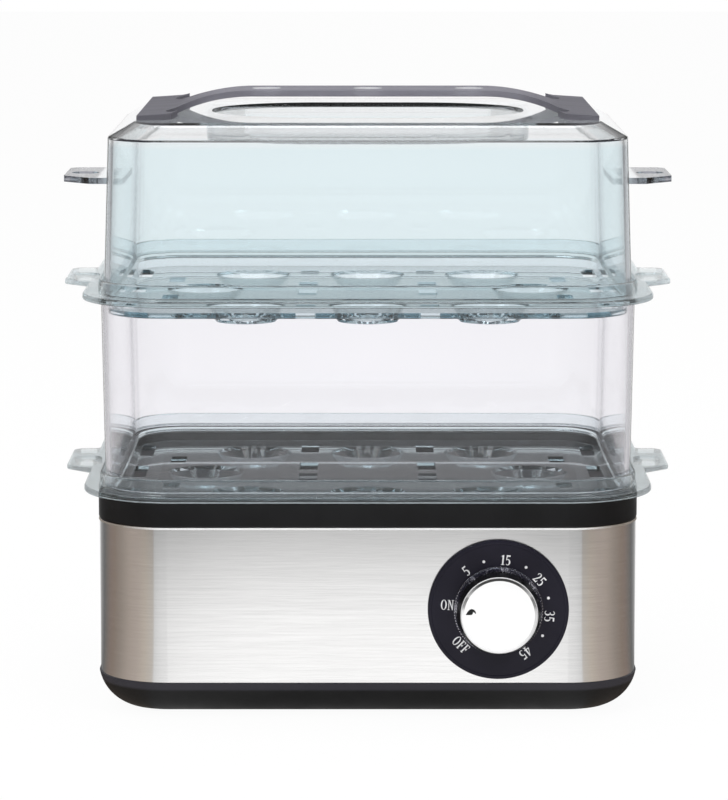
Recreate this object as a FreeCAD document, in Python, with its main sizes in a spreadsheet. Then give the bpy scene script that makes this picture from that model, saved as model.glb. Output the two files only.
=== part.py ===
import FreeCAD, Part
import math
import os
from types import SimpleNamespace

import Sketcher

# Countertop egg boiler: a heated base with a timer, two egg trays, a ring wall between them and a lid.
# Millimetres. +Z is up, -Y is the front with the timer knob, +X is to the right of someone facing it.
# The origin is on the surface that the feet stand on, under the middle of the body.

SIZES = {
    "bodyWidth": (198.2, "steel band, outside, side to side"),
    "bodyDepth": (168.2, "steel band, outside, front to back"),
    "bodyCorner": (26.0, "corner radius of the steel band in plan"),
    "footRise": (1.5, "how far the feet hold the bottom off the table"),
    "footRadius": (7.5, "rubber foot"),
    "footSeat": (1.6, "depth of the recess that a foot sits in"),
    "footInset": (27.0, "foot centre, in from the band's faces"),
    "bottomHeight": (12.0, "black bottom, from its underside to the band"),
    "bottomProud": (0.8, "how far the bottom's widest line stands out past the band"),
    "bottomRound": (15.8, "radius of the rounded lower edge"),
    "bottomCut": (1.0, "how much of that rounding the flat underside takes off"),
    "bottomWall": (2.5, "wall of the bottom moulding"),
    "bottomFloor": (3.0, "floor of the bottom moulding"),
    "bottomCove": (9.0, "how far the wall leans in at the floor"),
    "bottomLean": (3.2, "how far the wall leans in at its knee"),
    "bottomKnee": (3.0, "height of that knee above the floor"),
    "upstandRise": (4.0, "spigot inside the band, above its lower edge"),
    "upstandWall": (1.8, "wall of that spigot"),
    "ventWidth": (3.0, "slot in the bottom"),
    "ventLength": (34.0, "slot in the bottom"),
    "ventPitch": (10.0, "from slot to slot"),
    "ventStart": (6.0, "front end of the slots, behind the middle"),
    "bandHeight": (57.5, "steel band"),
    "bandWall": (0.8, "steel sheet"),
    "fitGap": (0.3, "loose fit between mouldings that stay put"),
    "holeGap": (0.2, "clearance round a screw, pin or bush in its hole"),
    "threadGap": (0.05, "clearance round a screw in the hole that it is driven into"),
    "rimHeight": (10.0, "black rim above the band"),
    "rimProud": (0.3, "how far the rim stands out past the band"),
    "rimEdge": (0.9, "rounding of the rim's edges"),
    "ledgeDrop": (7.0, "pan ledge, below the top of the rim"),
    "ledgeThick": (3.5, "pan ledge"),
    "skirtDrop": (5.0, "rim's skirt, below the top of the band"),
    "skirtWall": (2.0, "rim's skirt"),
    "columnRadius": (4.0, "screw column hanging from the rim"),
    "columnPlace": (45.0, "screw columns, front and back of the middle"),
    "columnGap": (1.5, "between a column and the pan"),
    "bossRadius": (5.5, "boss in the bottom under a column"),
    "bossTop": (7.5, "top of that boss above the underside"),
    "pilotDepth": (14.0, "screw hole in a column"),
    "baseScrewLength": (15.0, "base screw under its head"),
    "headSeat": (4.5, "depth of the recess for a base screw's head"),
    "screwRadius": (1.5, "screw thread"),
    "headRadius": (3.0, "screw head"),
    "headHeight": (2.2, "screw head"),
    "driveWidth": (0.7, "cross slot in a screw head"),
    "driveDepth": (1.1, "cross slot in a screw head"),
    "sealThick": (0.8, "silicone seal under the pan"),
    "sealWidth": (2.4, "silicone seal under the pan"),
    "panSheet": (1.0, "pan wall"),
    "panDepth": (11.3, "pan, outside, from under its floor to the top of its flange"),
    "panFlange": (14.4, "width of the pan's flange"),
    "panGap": (0.6, "pan flange to rim"),
    "panCove": (4.0, "inside radius between the pan's floor and wall"),
    "ledgeGap": (1.0, "ledge opening to pan"),
    "studPlace": (25.0, "pan studs, front and back of the middle"),
    "studInset": (3.7, "pan studs, out from the pan's wall"),
    "studLength": (9.6, "pan stud"),
    "washerRadius": (2.9, "washer under a pan nut"),
    "washerThick": (0.8, "washer under a pan nut"),
    "nutRadius": (2.9, "pan nut, across its corners"),
    "nutHeight": (2.4, "pan nut"),
    "spreaderRadius": (55.0, "aluminium heat spreader"),
    "spreaderThick": (5.0, "aluminium heat spreader"),
    "elementRadius": (3.3, "heating element tube"),
    "elementBend": (36.0, "radius of the element's half circle"),
    "elementLeg": (48.0, "element's straight legs"),
    "pinRadius": (1.5, "element's end pins"),
    "pinLength": (9.0, "element's end pins"),
    "statRadius": (8.0, "thermostat"),
    "statHeight": (7.5, "thermostat"),
    "statEar": (13.0, "reach of the thermostat's screw ears"),
    "statPlate": (0.8, "thermostat's screw plate"),
    "fuseRadius": (2.2, "thermal fuse in its sleeve"),
    "fuseLength": (13.0, "thermal fuse"),
    "fusePlace": (-20.0, "thermal fuse, behind the middle"),
    "clipWall": (1.6, "clip round the thermal fuse"),
    "clipWidth": (6.0, "clip round the thermal fuse"),
    "tabThick": (0.8, "push-on terminal tab"),
    "tabWidth": (4.8, "push-on terminal tab"),
    "tabLength": (7.0, "push-on terminal tab"),
    "dialInset": (51.6, "dial centre, in from the band's right side"),
    "dialRise": (27.5, "dial centre, above the band's lower edge"),
    "dialRadius": (25.7, "dial plate"),
    "dialThick": (2.0, "dial plate"),
    "dialEdge": (0.7, "rounding of the dial's edge"),
    "timerRadius": (21.0, "timer case"),
    "timerDepth": (28.0, "timer case"),
    "timerScrewPlace": (15.5, "timer screws, either side of the shaft"),
    "timerScrewLength": (8.0, "timer screw under its head"),
    "timerHeadHeight": (1.4, "timer screw's flat head"),
    "bushRadius": (4.4, "timer bush, outside"),
    "bushFront": (1.2, "how far the bush stands out of the band"),
    "bushLength": (20.0, "timer bush"),
    "shaftRadius": (3.0, "timer shaft"),
    "shaftGap": (0.05, "running clearance of the shaft in its bush"),
    "shaftFlat": (2.3, "flat on the shaft, from its axis"),
    "shaftReach": (7.4, "how far the shaft goes into the knob"),
    "shaftInside": (18.0, "how far the shaft goes into the timer"),
    "bellRadius": (16.0, "timer bell"),
    "bellDepth": (6.0, "timer bell"),
    "bellWall": (1.0, "timer bell"),
    "bellStand": (7.0, "timer to the bell's base"),
    "knobGap": (0.4, "knob to dial"),
    "knobRadius": (16.3, "knob at its foot"),
    "knobTaper": (1.7, "how much narrower the knob is at its face"),
    "knobLength": (9.8, "knob"),
    "knobEdge": (0.5, "rounding of the knob's edges"),
    "capRadius": (13.8, "metal disc in the knob's face"),
    "capThick": (1.2, "metal disc in the knob's face"),
    "capSeat": (0.9, "depth of its seat"),
    "markPlace": (10.6, "pointer mark, from the middle of the disc"),
    "markLength": (3.8, "pointer mark"),
    "markWidth": (1.4, "pointer mark"),
    "markDepth": (0.4, "pointer mark"),
    "markAngle": (85.0, "pointer mark at rest, from straight up towards the left"),
    "springThick": (0.5, "spring clip between shaft and knob"),
    "glandInset": (44.1, "cord gland, in from the band's left side"),
    "glandRise": (20.0, "cord gland, above the band's lower edge"),
    "glandBore": (3.6, "radius of the cord's hole"),
    "glandNeck": (6.0, "gland where it goes through the band"),
    "glandFlange": (9.0, "gland flange radius"),
    "glandFlangeThick": (2.5, "gland flange"),
    "glandTip": (5.2, "gland at its outer end"),
    "glandReach": (15.9, "gland, outside the band"),
    "glandInside": (9.0, "gland, inside the band"),
    "glandNutRadius": (8.6, "gland nut, across its corners"),
    "glandNutThick": (4.0, "gland nut"),
    "blockWidth": (24.0, "terminal block"),
    "blockDepth": (17.0, "terminal block"),
    "blockHeight": (14.0, "terminal block"),
    "blockInset": (34.1, "middle of the terminal block, in from the band's back"),
    "leadRadius": (1.1, "inner lead"),
    "lugRadius": (4.2, "earth lug"),
    "flangeSide": (5.9, "tray flange, out from its lip at the sides"),
    "flangeFront": (7.2, "tray flange, out from its lip at the front and back"),
    "flangeCorner": (7.5, "how much larger the flange's corner radius is than its lip's"),
    "trayFlange": (2.3, "thickness of the tray flange"),
    "trayEdge": (0.7, "rounding of the tray's edges"),
    "lipInset": (0.3, "tray lip, in from the line of the steel band"),
    "lipRise": (5.1, "tray lip above the flange"),
    "lipWall": (1.5, "tray lip"),
    "stackGap": (0.5, "ring or lid inside a tray's lip"),
    "wellGap": (0.9, "tray well inside the ring or the rim"),
    "wellDrop": (5.0, "tray well below the flange"),
    "wellWall": (1.8, "wall of the tray well"),
    "wellFloor": (2.0, "floor of the tray well"),
    "seatTop": (14.5, "radius of an egg seat at the tray's floor"),
    "seatBase": (9.5, "radius of an egg seat at its base"),
    "seatDepth": (4.7, "egg seat, below the tray's floor"),
    "seatWall": (1.8, "egg seat"),
    "seatDrain": (2.0, "radius of the drain hole in an egg seat"),
    "sideSeat": (62.0, "egg seats of the middle row, from the middle"),
    "rowSeat": (45.0, "outer egg seats of the front and back rows, from the middle"),
    "rowPlace": (48.0, "front and back rows, from the middle"),
    "edgeSlotInset": (6.7, "slots along the tray's sides, in from the well's side"),
    "edgeSlotWidth": (6.2, "slots along the tray's sides"),
    "edgeSlotLength": (26.0, "slots along the tray's sides"),
    "edgeSlotPitch": (51.0, "slots along the tray's sides"),
    "midSlotPlace": (22.8, "slots between the seats, from the middle"),
    "midSlotWidth": (7.0, "slots between the seats"),
    "midSlotLength": (17.0, "slots between the seats"),
    "midSlotNear": (13.0, "inner slots between the seats, from the middle"),
    "midSlotFar": (55.0, "outer slots between the seats, from the middle"),
    "sideSlotPlace": (74.0, "slots beside the middle row's seats, from the middle"),
    "sideSlotWidth": (6.0, "slots beside the middle row's seats"),
    "sideSlotLength": (15.0, "slots beside the middle row's seats"),
    "sideSlotFar": (29.0, "slots beside the middle row's seats, front and back of the middle"),
    "earReach": (9.9, "ear, out from the tray flange"),
    "earSpan": (48.0, "ear, front to back"),
    "earThick": (2.3, "ear"),
    "earFrontCut": (10.5, "front corner cut off an ear"),
    "earBackCut": (3.0, "back corner cut off an ear"),
    "earCorner": (2.0, "rounding of an ear's corners in plan"),
    "earHole": (5.2, "radius of the hole in an ear"),
    "earHoleInset": (7.3, "hole in an ear, in from its tip"),
    "ringHeight": (68.7, "clear wall between the trays"),
    "ringWall": (1.8, "clear wall between the trays"),
    "ringFlare": (1.1, "how much the ring widens on each side towards its top"),
    "ringEdge": (0.5, "rounding of the ring's edges"),
    "lidWallHeight": (57.0, "lid's upright wall"),
    "lidDraft": (1.9, "how much the wall leans in on each side"),
    "lidShoulder": (5.7, "height of the sloping shoulder under the lid's top"),
    "lidShoulderIn": (10.0, "width of that shoulder"),
    "lidWall": (2.0, "wall of the lid"),
    "lidEarRise": (36.6, "underside of the lid's ears above its lower edge"),
    "lidEdge": (0.6, "rounding of the lid's edges"),
    "gripWidth": (118.0, "finger well in the lid's top, side to side"),
    "gripDepth": (86.0, "finger well, front to back"),
    "gripDrop": (8.0, "finger well, below the lid's top"),
    "gripEdge": (3.0, "rounding of the finger well's floor"),
    "handleThick": (2.3, "handle strap"),
    "handleRise": (6.0, "strap's underside above the lid's top"),
    "handleFootWidth": (12.6, "feet, side to side"),
    "handleRamp": (15.0, "length of the strap's slope between a foot and its level part"),
    "handleFootThin": (1.5, "thickness of a foot at its outer edge"),
    "handleInset": (0.3, "foot's outer edge, in from the lid's flat top"),
    "handleFootSpan": (108.0, "feet, front to back"),
    "handleStrap": (30.0, "strap, front to back"),
    "handleSweep": (21.0, "radius between strap and foot in plan"),
    "handleHeel": (2.6, "how far a foot's inner edge lies outside the start of the slope"),
    "handleHole": (5.2, "radius of the holes in the strap"),
    "handleHolePlace": (38.4, "outer holes, from the middle"),
    "handleBend": (10.0, "radius of the strap's bends at its feet"),
    "handleArch": (70.0, "radius of the bends at the ends of the strap's level part"),
    "tagWidth": (3.0, "handle tags, side to side"),
    "tagDepth": (10.0, "handle tags, front to back"),
    "tagInset": (5.6, "handle tags, in from a foot's outer edge"),
    "tagSpread": (30.0, "handle tags, front and back of the middle"),
    "tagGap": (0.15, "tag in its slot"),
}

doc = FreeCAD.newDocument("EggBoiler")
sheet = doc.addObject("Spreadsheet::Sheet", "sizes")
for row, (name, (value, note)) in enumerate(SIZES.items(), start=1):
    sheet.set("A%d" % row, name)
    sheet.set("B%d" % row, str(value))
    sheet.setAlias("B%d" % row, name)
    sheet.set("C%d" % row, note)
doc.recompute()


class Length:
    # A length as the expression that the document keeps, with its value for first drawings.
    def __init__(self, text, value):
        self.text = text
        self.value = value

    def __add__(self, other):
        other = lengthOf(other)
        return Length("(%s + %s)" % (self.text, other.text), self.value + other.value)

    def __sub__(self, other):
        other = lengthOf(other)
        return Length("(%s - %s)" % (self.text, other.text), self.value - other.value)

    def __mul__(self, other):
        other = lengthOf(other)
        return Length("(%s * %s)" % (self.text, other.text), self.value * other.value)

    def __truediv__(self, other):
        other = lengthOf(other)
        return Length("(%s / %s)" % (self.text, other.text), self.value / other.value)

    def __neg__(self):
        return Length("(0 - %s)" % self.text, -self.value)


def lengthOf(thing):
    return thing if isinstance(thing, Length) else Length(str(float(thing)), float(thing))


class Outline:
    # A rectangle with rounded corners, centred on the Z axis.
    def __init__(self, halfX, halfY, corner):
        self.halfX = halfX
        self.halfY = halfY
        self.corner = corner

    def grow(self, by):
        return Outline(self.halfX + by, self.halfY + by, self.corner + by)

    def holds(self, point):
        # Whether a point lies on the outline, seen from above.
        outX = abs(point.x) - (self.halfX.value - self.corner.value)
        outY = abs(point.y) - (self.halfY.value - self.corner.value)
        beyond = math.hypot(max(outX, 0.0), max(outY, 0.0)) + min(max(outX, outY), 0.0)
        return abs(beyond - self.corner.value) < 0.02


S = SimpleNamespace(**{name: Length("sizes." + name, value) for name, (value, note) in SIZES.items()})
ZERO = lengthOf(0.0)

# Heights that several pieces share.
bandZ = S.footRise + S.bottomHeight
rimZ = bandZ + S.bandHeight
deckZ = rimZ + S.rimHeight
ledgeZ = deckZ - S.ledgeDrop
sealTopZ = ledgeZ + S.sealThick
panTopZ = sealTopZ + S.panSheet
panZ = panTopZ - S.panDepth
spreaderZ = panZ - S.spreaderThick
bossZ = S.footRise + S.bossTop
floorZ = S.footRise + S.bottomFloor
upperZ = deckZ + S.trayFlange + S.ringHeight
lidZ = upperZ + S.trayFlange
lidShoulderZ = lidZ + S.lidWallHeight
lidTopZ = lidShoulderZ + S.lidShoulder
dialZ = bandZ + S.dialRise
glandZ = bandZ + S.glandRise

# Distances in front of the middle (towards -Y).
frontFace = S.bodyDepth / 2
bandInside = frontFace - S.bandWall
dialFront = frontFace + S.dialThick
knobBack = dialFront + S.knobGap
knobFront = knobBack + S.knobLength
timerBack = bandInside - S.timerDepth

# Outlines in plan.
band = Outline(S.bodyWidth / 2, S.bodyDepth / 2, S.bodyCorner)
spigot = band.grow(-S.bandWall - S.fitGap)
lip = band.grow(-S.lipInset)
flange = Outline(lip.halfX + S.flangeSide, lip.halfY + S.flangeFront, lip.corner + S.flangeCorner)
stack = lip.grow(-S.lipWall - S.stackGap)
ringTop = stack.grow(S.ringFlare)
well = ringTop.grow(-S.ringWall - S.wellGap)
rimOpening = well.grow(S.wellGap)
panEdge = rimOpening.grow(-S.panGap)
pan = panEdge.grow(-S.panFlange)
lidShoulderLine = stack.grow(-S.lidDraft)
lidTop = lidShoulderLine.grow(-S.lidShoulderIn)

# Distances right of the middle (towards +X), and behind it (towards +Y).
columnX = pan.halfX + S.columnGap + S.columnRadius
studX = pan.halfX + S.studInset
dialX = band.halfX - S.dialInset
glandX = S.glandInset - band.halfX
earTip = flange.halfX + S.earReach
earHoleX = earTip - S.earHoleInset
handleEdge = lidTop.halfX - S.handleInset
handleFootX = handleEdge - S.handleFootWidth
handleFlatX = handleFootX - S.handleRamp
tagX = handleEdge - S.tagInset
blockY = frontFace - S.blockInset

pieces = []


def bind(thing, **values):
    # Settings of a feature: a Length becomes an expression, anything else is set as it is.
    for name, value in values.items():
        if isinstance(value, Length):
            thing.setExpression(name, value.text)
        else:
            setattr(thing, name, value)


def place(thing, x, y, z, axis=None, angle=0.0):
    # A named place: offsets are expressions, and a turn about an axis is fixed.
    if axis:
        turn = FreeCAD.Rotation(FreeCAD.Vector(*axis), angle)
        thing.Placement = FreeCAD.Placement(FreeCAD.Vector(), turn)
    thing.setExpression(".Placement.Base.x", lengthOf(x).text)
    thing.setExpression(".Placement.Base.y", lengthOf(y).text)
    thing.setExpression(".Placement.Base.z", lengthOf(z).text)
    return thing


def newBody(name):
    body = doc.addObject("PartDesign::Body", name)
    body.Label = name
    return body


def newSketch(body, name, plane, height):
    # On XY the height is +Z, on XZ it is towards the front, on YZ it is +X.
    sketch = body.newObject("Sketcher::SketchObject", name)
    origin = [part for part in body.Origin.OriginFeatures if part.Role == plane + "_Plane"][0]
    sketch.AttachmentSupport = (origin, [""])
    sketch.MapMode = "FlatFace"
    sketch.setExpression(".AttachmentOffset.Base.z", lengthOf(height).text)
    return sketch


def dimension(sketch, kind, where, size):
    # One driving dimension, tied to its expression.
    index = sketch.addConstraint(Sketcher.Constraint(kind, *where, size.value))
    sketch.setExpression("Constraints[%d]" % index, size.text)


def drawOutline(sketch, outline):
    x, y, r = outline.halfX.value, outline.halfY.value, outline.corner.value
    first = sketch.GeometryCount
    runs = (
        ((r - x, -y), (x - r, -y)),
        ((x, r - y), (x, y - r)),
        ((x - r, y), (r - x, y)),
        ((-x, y - r), (-x, r - y)),
    )
    for start, end in runs:
        sketch.addGeometry(Part.LineSegment(FreeCAD.Vector(*start, 0), FreeCAD.Vector(*end, 0)))
    corners = ((x - r, r - y), (x - r, y - r), (r - x, y - r), (r - x, r - y))
    for quarter, centre in enumerate(corners):
        circle = Part.Circle(FreeCAD.Vector(*centre, 0), FreeCAD.Vector(0, 0, 1), r)
        start = (quarter - 1) * math.pi / 2
        sketch.addGeometry(Part.ArcOfCircle(circle, start, start + math.pi / 2))
    for quarter in range(4):
        line, arc, after = first + quarter, first + 4 + quarter, first + (quarter + 1) % 4
        sketch.addConstraint(Sketcher.Constraint("Tangent", line, 2, arc, 1))
        sketch.addConstraint(Sketcher.Constraint("Tangent", arc, 2, after, 1))
    for line in (first, first + 2):
        sketch.addConstraint(Sketcher.Constraint("Horizontal", line))
    for line in (first + 1, first + 3):
        sketch.addConstraint(Sketcher.Constraint("Vertical", line))
    for arc in (first + 5, first + 6, first + 7):
        sketch.addConstraint(Sketcher.Constraint("Equal", first + 4, arc))
    sketch.addConstraint(Sketcher.Constraint("Symmetric", first, 1, first + 2, 1, -1, 1))
    dimension(sketch, "DistanceX", (first + 3, 1, first + 1, 1), outline.halfX * 2)
    dimension(sketch, "DistanceY", (first, 1, first + 2, 2), outline.halfY * 2)
    dimension(sketch, "Radius", (first + 4,), outline.corner)


def drawCircle(sketch, x, y, radius):
    centre = FreeCAD.Vector(x.value, y.value, 0)
    index = sketch.addGeometry(Part.Circle(centre, FreeCAD.Vector(0, 0, 1), radius.value))
    dimension(sketch, "DistanceX", (-1, 1, index, 3), x)
    dimension(sketch, "DistanceY", (-1, 1, index, 3), y)
    dimension(sketch, "Radius", (index,), radius)


def drawPolygon(sketch, points):
    corners = [FreeCAD.Vector(x.value, y.value, 0) for x, y in points]
    first = sketch.GeometryCount
    count = len(points)
    for index in range(count):
        sketch.addGeometry(Part.LineSegment(corners[index], corners[(index + 1) % count]))
    for index, (x, y) in enumerate(points):
        after = first + (index + 1) % count
        sketch.addConstraint(Sketcher.Constraint("Coincident", first + index, 2, after, 1))
        dimension(sketch, "DistanceX", (-1, 1, first + index, 1), x)
        dimension(sketch, "DistanceY", (-1, 1, first + index, 1), y)


def drawBox(sketch, x, y, width, depth):
    # A rectangle given by its middle.
    left, right, near, back = x - width / 2, x + width / 2, y - depth / 2, y + depth / 2
    drawPolygon(sketch, [(left, near), (right, near), (right, back), (left, back)])


def outlineSketch(body, name, height, *outlines):
    sketch = newSketch(body, name, "XY", height)
    for outline in outlines:
        drawOutline(sketch, outline)
    return sketch


def circleSketch(body, name, plane, height, circles):
    sketch = newSketch(body, name, plane, height)
    for x, y, radius in circles:
        drawCircle(sketch, lengthOf(x), lengthOf(y), radius)
    return sketch


def polygonSketch(body, name, plane, height, points):
    sketch = newSketch(body, name, plane, height)
    drawPolygon(sketch, [(lengthOf(x), lengthOf(y)) for x, y in points])
    return sketch


def pad(body, name, sketch, length, **more):
    feature = body.newObject("PartDesign::Pad", name)
    feature.Profile = sketch
    bind(feature, Length=length, **more)
    body.Tip = feature
    return feature


def pocket(body, name, sketch, length=None, **more):
    # A pocket that takes nothing away points the wrong way, so its volume is compared.
    doc.recompute()
    before = body.Shape.Volume
    feature = body.newObject("PartDesign::Pocket", name)
    feature.Profile = sketch
    if length is None:
        feature.Type = "ThroughAll"
    else:
        bind(feature, Length=length)
    bind(feature, **more)
    body.Tip = feature
    doc.recompute()
    if body.Shape.Volume >= before - 1e-6:
        raise RuntimeError("%s cuts nothing from %s" % (name, body.Label))
    return feature


def loft(body, kind, name, sketches):
    feature = body.newObject("PartDesign::" + kind, name)
    feature.Profile = sketches[0]
    feature.Sections = sketches[1:]
    feature.Ruled = True
    body.Tip = feature
    return feature


def tool(body, kind, name, x, y, z, axis=None, angle=0.0, **values):
    # A box, cylinder or cone that is added to a body or cut from it, in the body's own frame.
    feature = body.newObject("PartDesign::" + kind, name)
    origin = [part for part in body.Origin.OriginFeatures if part.Role == "XY_Plane"][0]
    feature.AttachmentSupport = (origin, [""])
    feature.MapMode = "FlatFace"
    if axis:
        turn = FreeCAD.Rotation(FreeCAD.Vector(*axis), angle)
        feature.AttachmentOffset = FreeCAD.Placement(FreeCAD.Vector(), turn)
    feature.setExpression(".AttachmentOffset.Base.x", lengthOf(x).text)
    feature.setExpression(".AttachmentOffset.Base.y", lengthOf(y).text)
    feature.setExpression(".AttachmentOffset.Base.z", lengthOf(z).text)
    bind(feature, **values)
    body.Tip = feature
    return feature


def boxTool(body, kind, name, x, y, z, width, depth, height):
    # A box given by the middle of its plan and its lowest height.
    return tool(body, kind, name, x - width / 2, y - depth / 2, z, Length=width, Width=depth, Height=height)


def roundEdges(body, name, radius, wanted):
    doc.recompute()
    base = body.Tip
    names = ["Edge%d" % (i + 1) for i, edge in enumerate(base.Shape.Edges) if wanted(edge)]
    if not names:
        raise RuntimeError("%s finds no edge of %s" % (name, body.Label))
    feature = body.newObject("PartDesign::Fillet", name)
    feature.Base = (base, names)
    bind(feature, Radius=radius)
    body.Tip = feature
    doc.recompute()
    return feature


def onLine(outline, height):
    # Edges that lie along an outline at a height.
    def wanted(edge):
        middle = edge.valueAt((edge.FirstParameter + edge.LastParameter) / 2)
        spots = [vertex.Point for vertex in edge.Vertexes] + [middle]
        return all(abs(spot.z - height.value) < 0.01 and outline.holds(spot) for spot in spots)

    return wanted


def either(*tests):
    return lambda edge: any(test(edge) for test in tests)


def finish(thing, label):
    # The object that is a piece of the real thing, under the piece's own name.
    thing.Label = label
    pieces.append(thing)
    return thing


def cylinder(name, radius, height, x, y, z, axis=None, angle=0.0):
    thing = doc.addObject("Part::Cylinder", name)
    bind(thing, Radius=lengthOf(radius), Height=lengthOf(height))
    return place(thing, x, y, z, axis, angle)


def cone(name, low, high, height, x, y, z, axis=None, angle=0.0):
    thing = doc.addObject("Part::Cone", name)
    bind(thing, Radius1=lengthOf(low), Radius2=lengthOf(high), Height=lengthOf(height))
    return place(thing, x, y, z, axis, angle)


def block(name, width, depth, height, x, y, z):
    # A box given by the middle of its plan and its lowest height.
    thing = doc.addObject("Part::Box", name)
    bind(thing, Length=lengthOf(width), Width=lengthOf(depth), Height=lengthOf(height))
    return place(thing, lengthOf(x) - width / 2, lengthOf(y) - depth / 2, z)


def hexagon(name, radius, height, x, y, z, axis=None, angle=0.0):
    thing = doc.addObject("Part::Prism", name)
    thing.Polygon = 6
    bind(thing, Circumradius=lengthOf(radius), Height=lengthOf(height))
    return place(thing, x, y, z, axis, angle)


def cut(name, base, *tools):
    for index, piece in enumerate(tools):
        result = doc.addObject("Part::Cut", name if index == len(tools) - 1 else "%s_step%d" % (name, index))
        result.Base = base
        result.Tool = piece
        base = result
    return base


def join(name, *shapes):
    result = doc.addObject("Part::MultiFuse", name)
    result.Shapes = list(shapes)
    return result


def group(name, shapes):
    # Like pieces that stay separate solids.
    result = doc.addObject("Part::Compound", name)
    result.Links = list(shapes)
    return result


FRONTWARD = ((1, 0, 0), 90.0)      # turns a primitive's own +Z towards -Y
BACKWARD = ((1, 0, 0), -90.0)      # turns a primitive's own +Z towards +Y
BOTH = (-1, 1)
CORNERS = [(x, y) for x in BOTH for y in BOTH]


def makeBottom():
    body = newBody("base_bottom")
    outside = band.grow(S.bottomProud)
    roundZ = S.footRise - S.bottomCut
    pad(body, "block", outlineSketch(body, "outside", roundZ, outside), S.bottomRound + S.bottomHeight)
    roundEdges(body, "rounding", S.bottomRound, onLine(outside, roundZ))
    over = outside.grow(S.bottomWall)
    pocket(body, "top_cut", outlineSketch(body, "above", bandZ, over), Reversed=True)
    pocket(body, "under_cut", outlineSketch(body, "below", S.footRise, over))
    hollow = outside.grow(-S.bottomWall)
    steps = [outlineSketch(body, "inside", bandZ, hollow),
             outlineSketch(body, "knee", floorZ + S.bottomKnee, hollow.grow(-S.bottomLean)),
             outlineSketch(body, "floor_line", floorZ, hollow.grow(-S.bottomCove))]
    loft(body, "SubtractiveLoft", "hollow", steps)
    upstandZ = bandZ - S.bottomWall
    ring = outlineSketch(body, "upstand_ring", upstandZ, spigot, spigot.grow(-S.upstandWall))
    pad(body, "upstand", ring, S.upstandRise + S.bottomWall)
    spots = [(columnX * x, S.columnPlace * y) for x, y in CORNERS]
    half = S.bottomFloor / 2
    bosses = circleSketch(body, "boss_plan", "XY", floorZ - half, [(x, y, S.bossRadius) for x, y in spots])
    pad(body, "bosses", bosses, bossZ - floorZ + half)
    seats = circleSketch(body, "head_plan", "XY", S.footRise + S.headSeat,
                         [(x, y, S.headRadius + S.fitGap) for x, y in spots])
    pocket(body, "head_seats", seats)
    holes = circleSketch(body, "hole_plan", "XY", bossZ,
                         [(x, y, S.screwRadius + S.holeGap) for x, y in spots])
    pocket(body, "screw_holes", holes)
    feet = circleSketch(body, "foot_plan", "XY", S.footRise + S.footSeat,
                        [(x, y, S.footRadius + S.holeGap) for x, y in footSpots()])
    pocket(body, "foot_seats", feet)
    vents = newSketch(body, "vent_plan", "XY", floorZ)
    for index in range(-3, 4):
        drawBox(vents, S.ventPitch * index, S.ventStart + S.ventLength / 2, S.ventWidth, S.ventLength)
    pocket(body, "vents", vents)
    finish(body, "base_bottom")


def footSpots():
    return [((band.halfX - S.footInset) * x, (band.halfY - S.footInset) * y) for x, y in CORNERS]


def makeFeet():
    names = ("front_left", "back_left", "front_right", "back_right")
    for name, (x, y) in zip(names, footSpots()):
        foot = cylinder("pad_" + name, S.footRadius, S.footRise + S.footSeat, x, y, ZERO)
        rounded = doc.addObject("Part::Chamfer", "foot_" + name)
        rounded.Base = foot
        doc.recompute()
        lower = [i + 1 for i, edge in enumerate(foot.Shape.Edges) if edge.BoundBox.ZMax < 0.01]
        rounded.Edges = [(index, S.footRise.value / 3, S.footRise.value / 3) for index in lower]
        foot.Visibility = False
        finish(rounded, "foot_" + name)


def makeBand():
    body = newBody("steel_band")
    ring = outlineSketch(body, "ring", bandZ, band, band.grow(-S.bandWall))
    pad(body, "sheet", ring, S.bandHeight)
    screws = [(dialX + S.timerScrewPlace * side, dialZ, S.screwRadius + S.holeGap) for side in BOTH]
    front = [(dialX, dialZ, S.bushRadius + S.holeGap)] + screws
    pocket(body, "front_holes", circleSketch(body, "front_plan", "XZ", frontFace, front), S.bandWall * 2)
    back = [(glandX, glandZ, S.glandNeck + S.holeGap)]
    behind = -(frontFace - S.bandWall * 2)
    pocket(body, "gland_hole", circleSketch(body, "back_plan", "XZ", behind, back), S.bandWall * 3)
    finish(body, "steel_band")


def makeRim():
    body = newBody("top_rim")
    outside = band.grow(S.rimProud)
    wall = outlineSketch(body, "wall_ring", rimZ, outside, rimOpening)
    pad(body, "wall", wall, S.rimHeight)
    ledge = outlineSketch(body, "ledge_ring", ledgeZ - S.ledgeThick, spigot, pan.grow(S.ledgeGap))
    pad(body, "ledge", ledge, S.ledgeThick)
    skirt = outlineSketch(body, "skirt_ring", rimZ - S.skirtDrop, spigot, spigot.grow(-S.skirtWall))
    pad(body, "skirt", skirt, S.skirtDrop + S.rimHeight - S.ledgeDrop)
    roundEdges(body, "edges", S.rimEdge, either(onLine(outside, rimZ), onLine(outside, deckZ)))
    spots = [(columnX * x, S.columnPlace * y) for x, y in CORNERS]
    plan = circleSketch(body, "column_plan", "XY", bossZ, [(x, y, S.columnRadius) for x, y in spots])
    pad(body, "columns", plan, ledgeZ - S.ledgeThick / 2 - bossZ)
    pilot = S.screwRadius + S.threadGap
    holes = circleSketch(body, "pilot_plan", "XY", bossZ, [(x, y, pilot) for x, y in spots])
    pocket(body, "pilot_holes", holes, S.pilotDepth, Reversed=True)
    studs = [(studX * x, S.studPlace * y, S.screwRadius + S.holeGap) for x, y in CORNERS]
    pocket(body, "stud_holes", circleSketch(body, "stud_plan", "XY", ledgeZ, studs))
    finish(body, "top_rim")


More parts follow.
